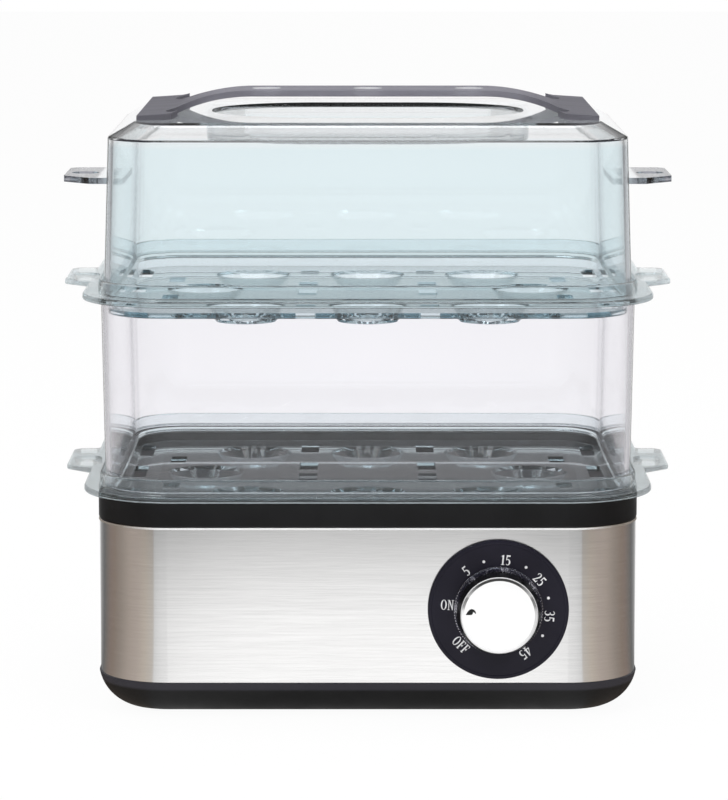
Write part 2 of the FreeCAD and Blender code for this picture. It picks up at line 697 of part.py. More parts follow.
def makePan():
    body = newBody("heating_pan")
    pad(body, "flange", outlineSketch(body, "flange_line", sealTopZ, panEdge), S.panSheet)
    pad(body, "dish", outlineSketch(body, "dish_line", panZ, pan), S.panDepth - S.panSheet / 2)
    hollow = pan.grow(-S.panSheet)
    pocket(body, "hollow", outlineSketch(body, "hollow_line", panTopZ, hollow), S.panDepth - S.panSheet)
    roundEdges(body, "cove", S.panCove, onLine(hollow, panZ + S.panSheet))
    roundEdges(body, "underside", S.panCove + S.panSheet, onLine(pan, panZ))
    finish(body, "heating_pan")


def makeSeal():
    body = newBody("pan_seal")
    outside = panEdge.grow(-S.panGap)
    ring = outlineSketch(body, "ring", ledgeZ, outside, outside.grow(-S.sealWidth))
    pad(body, "strip", ring, S.sealThick)
    finish(body, "pan_seal")


def makePanFixings():
    studs, nuts, washers = [], [], []
    underZ = ledgeZ - S.ledgeThick
    for index, (x, y) in enumerate(CORNERS):
        spotX, spotY = studX * x, S.studPlace * y
        studs.append(cylinder("stud%d" % index, S.screwRadius, S.studLength, spotX, spotY,
                              sealTopZ - S.studLength))
        hole = cylinder("nut_bore%d" % index, S.screwRadius + S.threadGap, S.nutHeight, spotX, spotY,
                        underZ - S.washerThick - S.nutHeight)
        blank = hexagon("nut_blank%d" % index, S.nutRadius, S.nutHeight, spotX, spotY,
                        underZ - S.washerThick - S.nutHeight)
        nuts.append(cut("nut%d" % index, blank, hole))
        if (x, y) == (-1, 1):
            continue                # the earth lug takes this washer's place
        ring = cylinder("washer_disc%d" % index, S.washerRadius, S.washerThick, spotX, spotY,
                        underZ - S.washerThick)
        bore = cylinder("washer_bore%d" % index, S.screwRadius + S.holeGap, S.washerThick, spotX, spotY,
                        underZ - S.washerThick)
        washers.append(cut("washer%d" % index, ring, bore))
    finish(group("studs", studs), "pan_studs")
    finish(group("nuts", nuts), "pan_nuts")
    finish(group("washers", washers), "pan_washers")


def lugSpot():
    # Middle of the earth lug's eye, and the axis of the barrel that holds its lead.
    underZ = ledgeZ - S.ledgeThick
    return -studX, S.studPlace, underZ - S.washerThick, underZ - S.leadRadius * 2


def makeEarthLug():
    x, y, z, barrelZ = lugSpot()
    reach = S.lugRadius * 2
    eye = cylinder("lug_eye", S.washerRadius, S.washerThick, x, y, z)
    tail = block("lug_tail", S.lugRadius, reach, S.washerThick, x, y - reach / 2, z)
    barrel = cylinder("lug_barrel", S.leadRadius * 2, S.lugRadius, x, y - reach, barrelZ, *FRONTWARD)
    whole = join("lug_blank", eye, tail, barrel)
    bore = cylinder("lug_bore", S.screwRadius + S.holeGap, S.washerThick, x, y, z)
    wire = cylinder("lug_wire", S.leadRadius + S.threadGap, S.lugRadius, x, y - reach, barrelZ,
                    *FRONTWARD)
    finish(cut("lug", whole, bore, wire), "earth_lug")


def elementSpine(body, name):
    # Two straight legs joined by a half circle at the front.
    sketch = newSketch(body, name, "XY", spreaderZ)
    bend, leg = S.elementBend.value, S.elementLeg.value
    sketch.addGeometry(Part.LineSegment(FreeCAD.Vector(-bend, leg, 0), FreeCAD.Vector(-bend, 0, 0)))
    circle = Part.Circle(FreeCAD.Vector(), FreeCAD.Vector(0, 0, 1), bend)
    sketch.addGeometry(Part.ArcOfCircle(circle, math.pi, 2 * math.pi))
    sketch.addGeometry(Part.LineSegment(FreeCAD.Vector(bend, 0, 0), FreeCAD.Vector(bend, leg, 0)))
    sketch.addConstraint(Sketcher.Constraint("Tangent", 0, 2, 1, 1))
    sketch.addConstraint(Sketcher.Constraint("Tangent", 1, 2, 2, 1))
    sketch.addConstraint(Sketcher.Constraint("Vertical", 0))
    sketch.addConstraint(Sketcher.Constraint("Vertical", 2))
    sketch.addConstraint(Sketcher.Constraint("Coincident", 1, 3, -1, 1))
    dimension(sketch, "Radius", (1,), S.elementBend)
    dimension(sketch, "DistanceY", (-1, 1, 0, 1), S.elementLeg)
    dimension(sketch, "DistanceY", (-1, 1, 2, 2), S.elementLeg)
    return sketch


def elementTube(body, kind, name, radius):
    spine = elementSpine(body, name + "_spine")
    profile = circleSketch(body, name + "_profile", "XZ", -S.elementLeg,
                           [(-S.elementBend, spreaderZ, radius)])
    feature = body.newObject("PartDesign::" + kind, name)
    feature.Profile = profile
    feature.Spine = (spine, [])
    body.Tip = feature


def makeSpreader():
    body = newBody("heat_spreader")
    disc = circleSketch(body, "disc_plan", "XY", spreaderZ, [(0, 0, S.spreaderRadius)])
    pad(body, "disc", disc, S.spreaderThick)
    elementTube(body, "SubtractivePipe", "groove", S.elementRadius + S.threadGap)
    screws = [(S.statEar * 0.8 * side, ZERO, S.screwRadius + S.threadGap) for side in BOTH]
    plan = circleSketch(body, "screw_plan", "XY", spreaderZ, screws)
    pocket(body, "screw_holes", plan, S.spreaderThick * 0.7, Reversed=True)
    finish(body, "heat_spreader")


def makeElement():
    body = newBody("heating_element")
    elementTube(body, "AdditivePipe", "tube", S.elementRadius)
    finish(body, "heating_element")
    pins = [cylinder("pin%d" % side, S.pinRadius, S.pinLength, S.elementBend * side, S.elementLeg, spreaderZ,
                     *BACKWARD) for side in BOTH]
    finish(group("pins", pins), "element_pins")


def makeThermostat():
    plate = block("stat_plate", S.statEar * 2, S.statRadius, S.statPlate, 0, 0, spreaderZ - S.statPlate)
    cup = cylinder("stat_cup", S.statRadius, S.statHeight, 0, 0, spreaderZ - S.statHeight)
    tabs = [block("stat_tab%d" % side, S.tabThick, S.tabWidth, S.tabLength, S.statRadius * 0.5 * side, 0,
                  spreaderZ - S.statHeight - S.tabLength) for side in BOTH]
    whole = join("stat_blank", plate, cup, *tabs)
    holes = [cylinder("stat_hole%d" % side, S.screwRadius + S.holeGap, S.statPlate, S.statEar * 0.8 * side, 0,
                      spreaderZ - S.statPlate) for side in BOTH]
    finish(cut("stat", whole, *holes), "thermostat")
    screws = [screw("stat_screw%d" % side, S.statEar * 0.8 * side, ZERO, spreaderZ - S.statPlate,
                    S.spreaderThick * 0.6 + S.statPlate, S.headRadius * 0.7, S.headHeight * 0.6)
              for side in BOTH]
    finish(group("stat_screws", screws), "thermostat_screws")


def screw(name, x, y, z, length, headRadius, headHeight, axis=None, angle=0.0):
    # A cross-head screw whose head hangs below a seat at height z, with its shank going up.
    shank = cylinder(name + "_shank", S.screwRadius, length, x, y, z)
    head = cylinder(name + "_head", headRadius, headHeight, x, y, z - headHeight)
    arms = ((headRadius, S.driveWidth), (S.driveWidth, headRadius))
    slots = [block("%s_slot%d" % (name, index), width, depth, S.driveDepth, x, y, z - headHeight)
             for index, (width, depth) in enumerate(arms)]
    return cut(name, join(name + "_blank", shank, head), *slots)


def makeBaseScrews():
    screws = [screw("base_screw%d" % i, columnX * x, S.columnPlace * y, S.footRise + S.headSeat,
                    S.baseScrewLength, S.headRadius, S.headHeight) for i, (x, y) in enumerate(CORNERS)]
    finish(group("base_screw_set", screws), "base_screws")


def makeFuse():
    z = spreaderZ - S.clipWall - S.fuseRadius
    start = -S.fuseLength / 2
    fuse = cylinder("fuse_can", S.fuseRadius, S.fuseLength, start, S.fusePlace, z, (0, 1, 0), 90.0)
    finish(fuse, "thermal_fuse")
    reach = S.fuseRadius + S.clipWall
    body = block("clip_body", S.clipWidth, reach * 2, reach * 2, 0, S.fusePlace, spreaderZ - reach * 2)
    bore = cylinder("clip_bore", S.fuseRadius + S.threadGap, S.clipWidth, -S.clipWidth / 2, S.fusePlace, z,
                    (0, 1, 0), 90.0)
    finish(cut("clip", body, bore), "fuse_clip")


def makeTimer():
    x = dialX
    case = cylinder("case", S.timerRadius, S.timerDepth, x, -timerBack, dialZ, *FRONTWARD)
    tabs = [block("timer_tab%d" % side, S.tabWidth, S.tabLength, S.tabThick, x + S.timerRadius * 0.5 * side,
                  -timerBack + S.tabLength / 2, dialZ + S.timerRadius * 0.7) for side in BOTH]
    bore = cylinder("case_bore", S.bushRadius, S.bushLength - S.bushFront, x,
                    -(bandInside + S.bandWall + S.bushFront - S.bushLength), dialZ, *FRONTWARD)
    holes = [cylinder("case_hole%d" % side, S.screwRadius + S.threadGap, S.timerScrewLength,
                      x + S.timerScrewPlace * side, -bandInside, dialZ, *BACKWARD) for side in BOTH]
    post = cylinder("case_post", S.screwRadius + S.threadGap, S.bellStand, x, -timerBack, dialZ, *FRONTWARD)
    finish(cut("timer", join("timer_blank", case, *tabs), bore, *holes, post), "timer_body")

    frontEnd = frontFace + S.bushFront
    sleeve = cylinder("sleeve", S.bushRadius, S.bushLength, x, -frontEnd, dialZ, *BACKWARD)
    hole = cylinder("sleeve_bore", S.shaftRadius + S.shaftGap, S.bushLength, x, -frontEnd, dialZ, *BACKWARD)
    finish(cut("bush", sleeve, hole), "timer_bush")

    screws = []
    for side in BOTH:
        spot = x + S.timerScrewPlace * side
        shank = cylinder("timer_shank%d" % side, S.screwRadius, S.timerScrewLength, spot, -frontFace, dialZ,
                         *BACKWARD)
        head = cylinder("timer_head%d" % side, S.headRadius, S.timerHeadHeight, spot, -frontFace, dialZ,
                        *FRONTWARD)
        screws.append(join("timer_screw%d" % side, shank, head))
    finish(group("timer_screw_set", screws), "timer_screws")

    bellFront = timerBack - S.bellStand + S.bellDepth
    cup = cylinder("bell_cup", S.bellRadius, S.bellDepth, x, -(bellFront - S.bellDepth), dialZ, *FRONTWARD)
    inside = cylinder("bell_inside", S.bellRadius - S.bellWall, S.bellDepth - S.bellWall, x,
                      -(bellFront - S.bellDepth + S.bellWall), dialZ, *FRONTWARD)
    bellHole = cylinder("bell_hole", S.screwRadius + S.holeGap, S.bellWall, x, -(bellFront - S.bellDepth),
                        dialZ, *FRONTWARD)
    finish(cut("bell", cup, inside, bellHole), "timer_bell")
    bellBack = bellFront - S.bellDepth
    shank = cylinder("bell_shank", S.screwRadius, S.bellStand * 1.5, x, -bellBack, dialZ, *FRONTWARD)
    head = cylinder("bell_head", S.headRadius, S.headHeight, x, -bellBack, dialZ, *BACKWARD)
    collar = cylinder("bell_collar", S.headRadius, S.bellStand - S.bellWall, x, -(bellBack + S.bellWall),
                      dialZ, *FRONTWARD)
    finish(join("bell_post", shank, head, collar), "bell_screw")


def makeDial():
    body = newBody("dial_plate")
    plan = circleSketch(body, "disc_plan", "XZ", frontFace, [(dialX, dialZ, S.dialRadius)])
    pad(body, "disc", plan, S.dialThick)

    def frontEdge(edge):
        box = edge.BoundBox
        return box.YMax < -dialFront.value + 0.01 and box.XLength > S.dialRadius.value * 1.9

    roundEdges(body, "edge", S.dialEdge, frontEdge)
    hole = circleSketch(body, "hole_plan", "XZ", dialFront, [(dialX, dialZ, S.bushRadius + S.holeGap)])
    pocket(body, "hole", hole)
    heads = [(dialX + S.timerScrewPlace * side, dialZ, S.headRadius + S.holeGap) for side in BOTH]
    plan = circleSketch(body, "head_plan", "XZ", frontFace, heads)
    pocket(body, "head_seats", plan, S.timerHeadHeight + S.threadGap, Reversed=True)
    finish(body, "dial_plate")


def makeKnob():
    x = dialX
    inner = frontFace - S.shaftInside
    outer = knobBack + S.shaftReach
    rod = cylinder("rod", S.shaftRadius, outer - inner, x, -inner, dialZ, *FRONTWARD)
    side = S.shaftRadius * 2
    shave = doc.addObject("Part::Box", "rod_shave")
    bind(shave, Length=side, Width=S.shaftReach, Height=S.shaftRadius)
    place(shave, x - S.shaftRadius, -outer, dialZ + S.shaftFlat)
    finish(cut("shaft", rod, shave), "timer_shaft")

    body = newBody("knob_body")
    foot = circleSketch(body, "foot_plan", "XZ", knobBack, [(x, dialZ, S.knobRadius)])
    face = circleSketch(body, "face_plan", "XZ", knobFront, [(x, dialZ, S.knobRadius - S.knobTaper)])
    loft(body, "AdditiveLoft", "grip", [foot, face])

    def outerEdge(edge):
        whole = len(edge.Vertexes) < 2
        return whole and edge.BoundBox.XLength > (S.knobRadius.value - S.knobTaper.value) * 1.9

    roundEdges(body, "edges", S.knobEdge, outerEdge)
    seat = circleSketch(body, "seat_plan", "XZ", knobFront, [(x, dialZ, S.capRadius + S.threadGap)])
    pocket(body, "cap_seat", seat, S.capSeat)
    bore = circleSketch(body, "bore_plan", "XZ", knobBack, [(x, dialZ, S.shaftRadius + S.threadGap)])
    pocket(body, "bore", bore, S.shaftReach, Reversed=True)
    slotWidth = S.shaftRadius * 1.4
    gap = S.springThick + S.holeGap
    tool(body, "SubtractiveBox", "spring_slot", x - slotWidth / 2, -(knobBack + S.shaftReach),
         dialZ + S.shaftFlat, Length=slotWidth, Width=S.shaftReach, Height=S.shaftRadius - S.shaftFlat + gap)
    finish(body, "knob_body")

    leaf = block("leaf", slotWidth - S.holeGap, S.shaftReach - S.holeGap, S.springThick, x,
                 -(knobBack + S.shaftReach / 2), dialZ + S.shaftFlat + S.threadGap)
    finish(leaf, "knob_spring")

    cap = newBody("knob_cap")
    disc = circleSketch(cap, "disc_plan", "XZ", knobFront - S.capSeat, [(x, dialZ, S.capRadius)])
    pad(cap, "disc", disc, S.capThick)
    angle = math.radians(SIZES["markAngle"][0])
    along = (-math.sin(angle), math.cos(angle))
    across = (-along[1], along[0])
    inside, outside = S.markPlace - S.markLength / 2, S.markPlace + S.markLength / 2
    corners = ((inside, 0), (outside - S.markWidth, -0.5), (outside, 0), (outside - S.markWidth, 0.5))
    points = []
    for reach, share in corners:
        points.append((x + reach * along[0] + S.markWidth * (share * across[0]),
                       dialZ + reach * along[1] + S.markWidth * (share * across[1])))
    capFront = knobFront - S.capSeat + S.capThick
    pocket(cap, "mark", polygonSketch(cap, "mark_plan", "XZ", capFront, points), S.markDepth)
    finish(cap, "knob_cap")


def makeGland():
    x, z = glandX, glandZ
    boot = cone("boot", S.glandNeck + S.glandFlangeThick * 0.4, S.glandTip, S.glandReach - S.glandFlangeThick,
                x, frontFace + S.glandFlangeThick, z, *BACKWARD)
    collar = cylinder("collar", S.glandFlange, S.glandFlangeThick, x, frontFace, z, *BACKWARD)
    neck = cylinder("neck", S.glandNeck, S.glandInside + S.bandWall, x,
                    frontFace - S.bandWall - S.glandInside, z, *BACKWARD)
    whole = join("gland_blank", boot, collar, neck)
    bore = cylinder("gland_bore", S.glandBore, S.glandReach + S.bandWall + S.glandInside, x,
                    frontFace - S.bandWall - S.glandInside, z, *BACKWARD)
    finish(cut("gland", whole, bore), "cord_gland")
    nut = hexagon("gland_nut_blank", S.glandNutRadius, S.glandNutThick, x, bandInside - S.glandNutThick, z,
                  *BACKWARD)
    thread = cylinder("gland_nut_bore", S.glandNeck + S.threadGap, S.glandNutThick, x,
                      bandInside - S.glandNutThick, z, *BACKWARD)
    finish(cut("gland_nut_part", nut, thread), "gland_nut")


def blockWays():
    # The three wire holes of the terminal block, from left to right.
    pitch = S.blockWidth / 3
    return [glandX + pitch * index for index in (-1, 0, 1)]


def makeTerminalBlock():
    body = block("block_body", S.blockWidth, S.blockDepth, S.blockHeight, glandX, blockY, floorZ)
    wayZ = floorZ + S.blockHeight / 2
    front = blockY - S.blockDepth / 2
    bores = [cylinder("way%d" % i, S.leadRadius + S.threadGap, S.blockDepth, x, front, wayZ, *BACKWARD)
             for i, x in enumerate(blockWays())]
    wells = [cylinder("well%d" % i, S.screwRadius + S.holeGap, S.blockHeight / 2, x, blockY, wayZ)
             for i, x in enumerate(blockWays())]
    finish(cut("block", body, *bores, *wells), "terminal_block")
    screws = [cylinder("way_screw%d" % i, S.screwRadius, S.blockHeight / 4, x, blockY,
                       wayZ + S.leadRadius) for i, x in enumerate(blockWays())]
    finish(group("way_screws", screws), "terminal_screws")


def leadPath(points):
    # Straight runs joined by tangent arcs, each as large as its two runs allow.
    share = 0.45
    edges = []
    start = points[0]
    for before, corner, after in zip(points, points[1:], points[2:]):
        arrive, leave = corner - before, after - corner
        trim = share * min(arrive.Length, leave.Length)
        arrive, leave = arrive.normalize(), leave.normalize()
        turn = arrive.getAngle(leave)
        radius = trim / math.tan(turn / 2)
        first, last = corner - arrive * trim, corner + leave * trim
        inward = (leave - arrive).normalize()
        middle = corner + inward * (radius / math.cos(turn / 2) - radius)
        edges.append(Part.LineSegment(start, first).toShape())
        edges.append(Part.Arc(first, middle, last).toShape())
        start = last
    edges.append(Part.LineSegment(start, points[-1]).toShape())
    return Part.Wire(edges)


def makeLead(name, points):
    points = [FreeCAD.Vector(*[lengthOf(part).value for part in point]) for point in points]
    path = leadPath(points)
    heading = (points[1] - points[0]).normalize()
    section = Part.Wire([Part.Circle(points[0], heading, S.leadRadius.value).toShape()])
    lead = doc.addObject("Part::Feature", name)
    lead.Shape = path.makePipeShell([section], True, False)
    expected = math.pi * S.leadRadius.value ** 2 * path.Length
    if abs(lead.Shape.Volume - expected) > 0.02 * expected:
        raise RuntimeError("%s isn't a plain round lead" % name)
    finish(lead, name)


def makeLeads():
    # Each lead leaves its terminal straight, and its inner points are chosen by hand.
    ways = blockWays()
    wayZ = floorZ + S.blockHeight / 2
    tabY = S.tabLength - timerBack
    tabZ = dialZ + S.timerRadius * 0.7 + S.tabThick / 2
    leftTab, rightTab = dialX - S.timerRadius * 0.5, dialX + S.timerRadius * 0.5
    statTab = S.statRadius * 0.5
    statZ = spreaderZ - S.statHeight - S.tabLength
    fuseEnd = S.fuseLength / 2
    fuseZ = spreaderZ - S.clipWall - S.fuseRadius
    pinY = S.elementLeg + S.pinLength
    makeLead("live_lead", [
        (ways[2], blockY, wayZ), (ways[2], 34.0, wayZ), (-40.0, 12.0, 7.8), (-12.0, -8.0, 7.0),
        (24.0, -16.0, 14.0), (36.0, -24.0, 36.0), (leftTab, tabY + 15.0, tabZ), (leftTab, tabY, tabZ)])
    makeLead("switched_lead", [
        (rightTab, tabY, tabZ), (rightTab, tabY + 13.0, tabZ), (50.0, -24.0, 38.0), (28.0, -12.0, 27.0),
        (statTab, ZERO, statZ - 14.0), (statTab, ZERO, statZ)])
    makeLead("fuse_lead", [
        (-statTab, ZERO, statZ), (-statTab, ZERO, statZ - 11.0), (-15.0, -8.0, 33.0), (-24.0, -17.0, 44.0),
        (-fuseEnd - 12.0, S.fusePlace, fuseZ), (-fuseEnd, S.fusePlace, fuseZ)])
    makeLead("element_lead", [
        (fuseEnd, S.fusePlace, fuseZ), (fuseEnd + 12.0, S.fusePlace, fuseZ), (27.0, -11.0, 44.0),
        (30.0, 12.0, 38.0), (34.0, 40.0, 38.0), (36.0, 72.0, 43.0), (S.elementBend, pinY + 13.0, spreaderZ),
        (S.elementBend, pinY, spreaderZ)])
    makeLead("neutral_lead", [
        (ways[1], blockY, wayZ), (ways[1], 34.0, wayZ), (-50.0, 24.0, 24.0), (-42.0, 44.0, 38.0),
        (-37.0, 70.0, 43.0), (-S.elementBend, pinY + 13.0, spreaderZ), (-S.elementBend, pinY, spreaderZ)])
    lugX, lugY, _, lugZ = lugSpot()
    end = lugY - S.lugRadius * 2.5
    makeLead("earth_lead", [
        (ways[0], blockY, wayZ), (ways[0], 34.0, wayZ), (-67.0, 20.0, 18.0), (-74.0, 4.0, 32.0),
        (-81.0, -9.0, 52.0), (lugX, end - 14.0, lugZ), (lugX, end, lugZ)])


def seatSpots():
    rows = [(S.rowSeat * column, S.rowPlace * row) for row in BOTH for column in (-1, 0, 1)]
    return rows + [(S.sideSeat * side, ZERO) for side in BOTH]


def ear(body, name, side, root, z, thick):
    tip, half = earTip, S.earSpan / 2
    points = [(root, -half), (tip - S.earFrontCut, -half), (tip, -half + S.earFrontCut),
              (tip, half - S.earBackCut), (tip - S.earBackCut, half), (root, half)]
    points = [(x * side, y) for x, y in points]
    pad(body, name, polygonSketch(body, name + "_plan", "XY", z, points), thick)


def roundEars(body, beyond):
    # The upright edges of the ears, farther out than beyond.
    def wanted(edge):
        box = edge.BoundBox
        upright = box.XLength < 0.01 and box.YLength < 0.01
        out = abs(box.Center.x) > beyond.value and abs(box.Center.y) < S.earSpan.value / 2 + 1.0
        return upright and out

    roundEdges(body, "ear_corners", S.earCorner, wanted)


def roundPlate(body, name, radius, height):
    # The outer edge of a plate's flat face at a height.
    doc.recompute()
    faces = [face for face in body.Tip.Shape.Faces
             if face.BoundBox.ZLength < 0.001 and abs(face.BoundBox.ZMax - height.value) < 0.001]
    edge = max(faces, key=lambda face: face.Area).OuterWire.Edges
    roundEdges(body, name, radius, lambda wanted: any(wanted.isSame(one) for one in edge))


def earHoles(body, z):
    spots = [(earHoleX * side, ZERO, S.earHole) for side in BOTH]
    pocket(body, "ear_holes", circleSketch(body, "ear_hole_plan", "XY", z, spots), S.earThick + S.holeGap)


def traySlots():
    # Middle and size of each slot in a tray's floor.
    slots = []
    edgeX = well.halfX - S.edgeSlotInset
    for side in BOTH:
        for index in (-1, 0, 1):
            slots.append((edgeX * side, S.edgeSlotPitch * index, S.edgeSlotWidth, S.edgeSlotLength))
        for end in BOTH:
            for far in (S.midSlotNear, S.midSlotFar):
                slots.append((S.midSlotPlace * side, far * end, S.midSlotWidth, S.midSlotLength))
            slots.append((S.sideSlotPlace * side, S.sideSlotFar * end, S.sideSlotWidth, S.sideSlotLength))
    return slots


def makeTray(name, z):
    # z is the underside of the flange.
    body = newBody(name + "_plate")
    top = z + S.trayFlange
    floorTop = z - S.wellDrop + S.wellFloor
    pad(body, "flange", outlineSketch(body, "flange_line", z, flange), S.trayFlange)
    for side in BOTH:
        ear(body, "ear%d" % (side + 2), side, lip.halfX, z, S.earThick)
    roundEars(body, flange.halfX - S.earCorner)
    roundPlate(body, "upper_edge", S.trayEdge, top)
    roundPlate(body, "lower_edge", S.trayEdge, z)
    earHoles(body, top)
    wellLine = outlineSketch(body, "well_line", z - S.wellDrop, well)
    pad(body, "well_block", wellLine, S.wellDrop + S.trayFlange / 2)
    ring = outlineSketch(body, "lip_line", z + S.trayFlange / 2, lip, lip.grow(-S.lipWall))
    pad(body, "lip", ring, S.trayFlange / 2 + S.lipRise)
    hollow = outlineSketch(body, "hollow_line", top, well.grow(-S.wellWall))
    pocket(body, "hollow", hollow, top - floorTop)
    roundEdges(body, "lip_edges", S.trayEdge, either(onLine(lip, top + S.lipRise),
                                                      onLine(lip.grow(-S.lipWall), top + S.lipRise)))
    roundEdges(body, "well_edge", S.trayEdge, onLine(well, z - S.wellDrop))

    seats, tools = [], []
    drop = S.seatDepth + S.seatWall
    for index, (x, y) in enumerate(seatSpots()):
        # Each seat hangs from the floor as a cone that narrows downwards.
        label = "%s_%d" % (name, index)
        seats.append(cone(label + "_seat", S.seatBase + S.seatWall, S.seatTop + S.seatWall, drop,
                          x, y, floorTop - drop))
        tools.append(cone(label + "_cup", S.seatBase, S.seatTop, S.seatDepth, x, y, floorTop - S.seatDepth))
        tools.append(cylinder(label + "_drain", S.seatDrain, drop, x, y, floorTop - drop))
    for index, (x, y, width, depth) in enumerate(traySlots()):
        tools.append(block("%s_slot%d" % (name, index), width, depth, S.wellFloor * 2, x, y,
                           floorTop - S.wellFloor * 1.5))
    whole = join(name + "_blank", body, *seats)
    finish(cut(name + "_cut", whole, join(name + "_tools", *tools)), name)


def makeRing():
    body = newBody("middle_ring")
    low, high = deckZ + S.trayFlange, upperZ
    outer = [outlineSketch(body, "low_line", low, stack), outlineSketch(body, "high_line", high, ringTop)]
    loft(body, "AdditiveLoft", "outside", outer)
    inner = [outlineSketch(body, "low_bore", low, stack.grow(-S.ringWall)),
             outlineSketch(body, "high_bore", high, ringTop.grow(-S.ringWall))]
    loft(body, "SubtractiveLoft", "inside", inner)
    roundEdges(body, "edges", S.ringEdge, either(onLine(stack, low), onLine(ringTop, high)))
    finish(body, "middle_ring")


def makeLid():
    body = newBody("lid")
    slope = S.lidWall * 0.4
    outer = [outlineSketch(body, "mouth_line", lidZ, stack),
             outlineSketch(body, "shoulder_line", lidShoulderZ, lidShoulderLine),
             outlineSketch(body, "top_line", lidTopZ, lidTop)]
    loft(body, "AdditiveLoft", "outside", outer)
    inner = [outlineSketch(body, "mouth_bore", lidZ, stack.grow(-S.lidWall)),
             outlineSketch(body, "shoulder_bore", lidShoulderZ - slope, lidShoulderLine.grow(-S.lidWall)),
             outlineSketch(body, "top_bore", lidTopZ - S.lidWall, lidTop.grow(-slope))]
    loft(body, "SubtractiveLoft", "inside", inner)
    dish = Outline(S.gripWidth / 2, S.gripDepth / 2, S.gripDepth / 2 - S.gripEdge)
    around = outlineSketch(body, "grip_wall_line", lidTopZ - S.gripDrop - S.lidWall, dish.grow(S.lidWall))
    pad(body, "grip_wall", around, S.gripDrop + S.lidWall)
    pocket(body, "grip", outlineSketch(body, "grip_line", lidTopZ, dish), S.gripDrop)
    roundEdges(body, "grip_floor", S.gripEdge, onLine(dish, lidTopZ - S.gripDrop))
    under = lidTopZ - S.gripDrop - S.lidWall
    roundEdges(body, "grip_under", S.gripEdge + S.lidWall, onLine(dish.grow(S.lidWall), under))
    root = lidShoulderLine.halfX - S.lidWall / 2
    earZ = lidZ + S.lidEarRise
    for side in BOTH:
        ear(body, "ear%d" % (side + 2), side, root, earZ, S.earThick)
    roundEars(body, stack.halfX + S.earCorner)
    earHoles(body, earZ + S.earThick)
    slots = newSketch(body, "tag_plan", "XY", lidTopZ)
    for x, y in tagSpots():
        drawBox(slots, x, y, S.tagWidth + S.tagGap * 2, S.tagDepth + S.tagGap * 2)
    pocket(body, "tag_slots", slots, S.lidWall * 1.5)
    roundEdges(body, "edges", S.lidEdge, either(onLine(lidShoulderLine, lidShoulderZ),
                                                onLine(lidTop, lidTopZ)))
    finish(body, "lid")


def tagSpots():
    return [(tagX * x, S.tagSpread * y) for x, y in CORNERS]


def cutSweep(body, side, z):
    # What is cut away between the feet: straight along the strap, swept round into each foot and its toes.
    strap = S.handleStrap / 2 * side
    middle = (S.handleStrap / 2 + S.handleSweep) * side
    far = S.handleFootSpan * 0.75 * side
    corner = handleFootX + S.handleHeel - S.handleSweep
    points = [(-corner, strap), (corner, strap), (handleEdge, far), (-handleEdge, far)]
    name = "sweep%d" % (side + 2)
    pocket(body, name, polygonSketch(body, name + "_plan", "XY", z, points))
    rounds = [(corner * end, middle, S.handleSweep) for end in BOTH]
    pocket(body, name + "_rounds", circleSketch(body, name + "_round_plan", "XY", z, rounds))


def makeHandle():
    body = newBody("lid_handle")
    low, high = lidTopZ, lidTopZ + S.handleRise
    thick = S.handleThick
    under = [(-handleEdge, low), (-handleFootX, low), (-handleFlatX, high),
             (handleFlatX, high), (handleFootX, low), (handleEdge, low)]
    over = [(handleEdge, low + S.handleFootThin), (handleFootX, low + thick), (handleFlatX, high + thick),
            (-handleFlatX, high + thick), (-handleFootX, low + thick), (-handleEdge, low + S.handleFootThin)]
    side = polygonSketch(body, "side", "XZ", ZERO, under + over)
    pad(body, "blank", side, S.handleFootSpan, Midplane=True)

    def bendsAt(x):
        def wanted(edge):
            spots = [vertex.Point for vertex in edge.Vertexes]
            across = abs(spots[0].x - spots[-1].x) < 0.01 and abs(spots[0].y - spots[-1].y) > 1.0
            return across and abs(abs(spots[0].x) - x.value) < 0.01

        return wanted

    roundEdges(body, "arches", S.handleArch, bendsAt(handleFlatX))
    roundEdges(body, "bends", S.handleBend, bendsAt(handleFootX))
    for side in BOTH:
        cutSweep(body, side, high + thick * 2)
    holes = [(S.handleHolePlace * index, ZERO, S.handleHole) for index in (-1, 0, 1)]
    pocket(body, "holes", circleSketch(body, "hole_plan", "XY", high + thick * 2, holes))
    for index, (x, y) in enumerate(tagSpots()):
        boxTool(body, "AdditiveBox", "tag%d" % index, x, y, low - S.lidWall,
                S.tagWidth, S.tagDepth, S.lidWall + S.handleFootThin / 2)
    finish(body, "lid_handle")


makeBottom()
makeFeet()
makeBand()
makeRim()
makePan()
makeSeal()
makePanFixings()
makeEarthLug()
makeSpreader()
makeElement()
makeThermostat()
makeFuse()
makeBaseScrews()
makeTimer()
makeDial()
makeKnob()
makeGland()
makeTerminalBlock()
makeLeads()
makeTray("lower_tray", deckZ)
makeRing()
makeTray("upper_tray", upperZ)
makeLid()
makeHandle()
doc.recompute()

for thing in doc.Objects:
    if "Invalid" in thing.State or "Error" in thing.State:
        raise RuntimeError("%s could not be worked out" % thing.Label)
for piece in pieces:
    if piece.Shape.isNull() or not piece.Shape.isValid():
        raise RuntimeError("%s has no valid shape" % piece.Label)

os.makedirs("parts", exist_ok=True)
for piece in pieces:
    piece.Shape.exportStep("parts/%s.step" % piece.Label)
    print("%-20s %2d solid(s) %12.1f mm3" % (piece.Label, len(piece.Shape.Solids), piece.Shape.Volume))
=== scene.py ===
import math
import bpy
import bmesh
from mathutils import Matrix, Vector


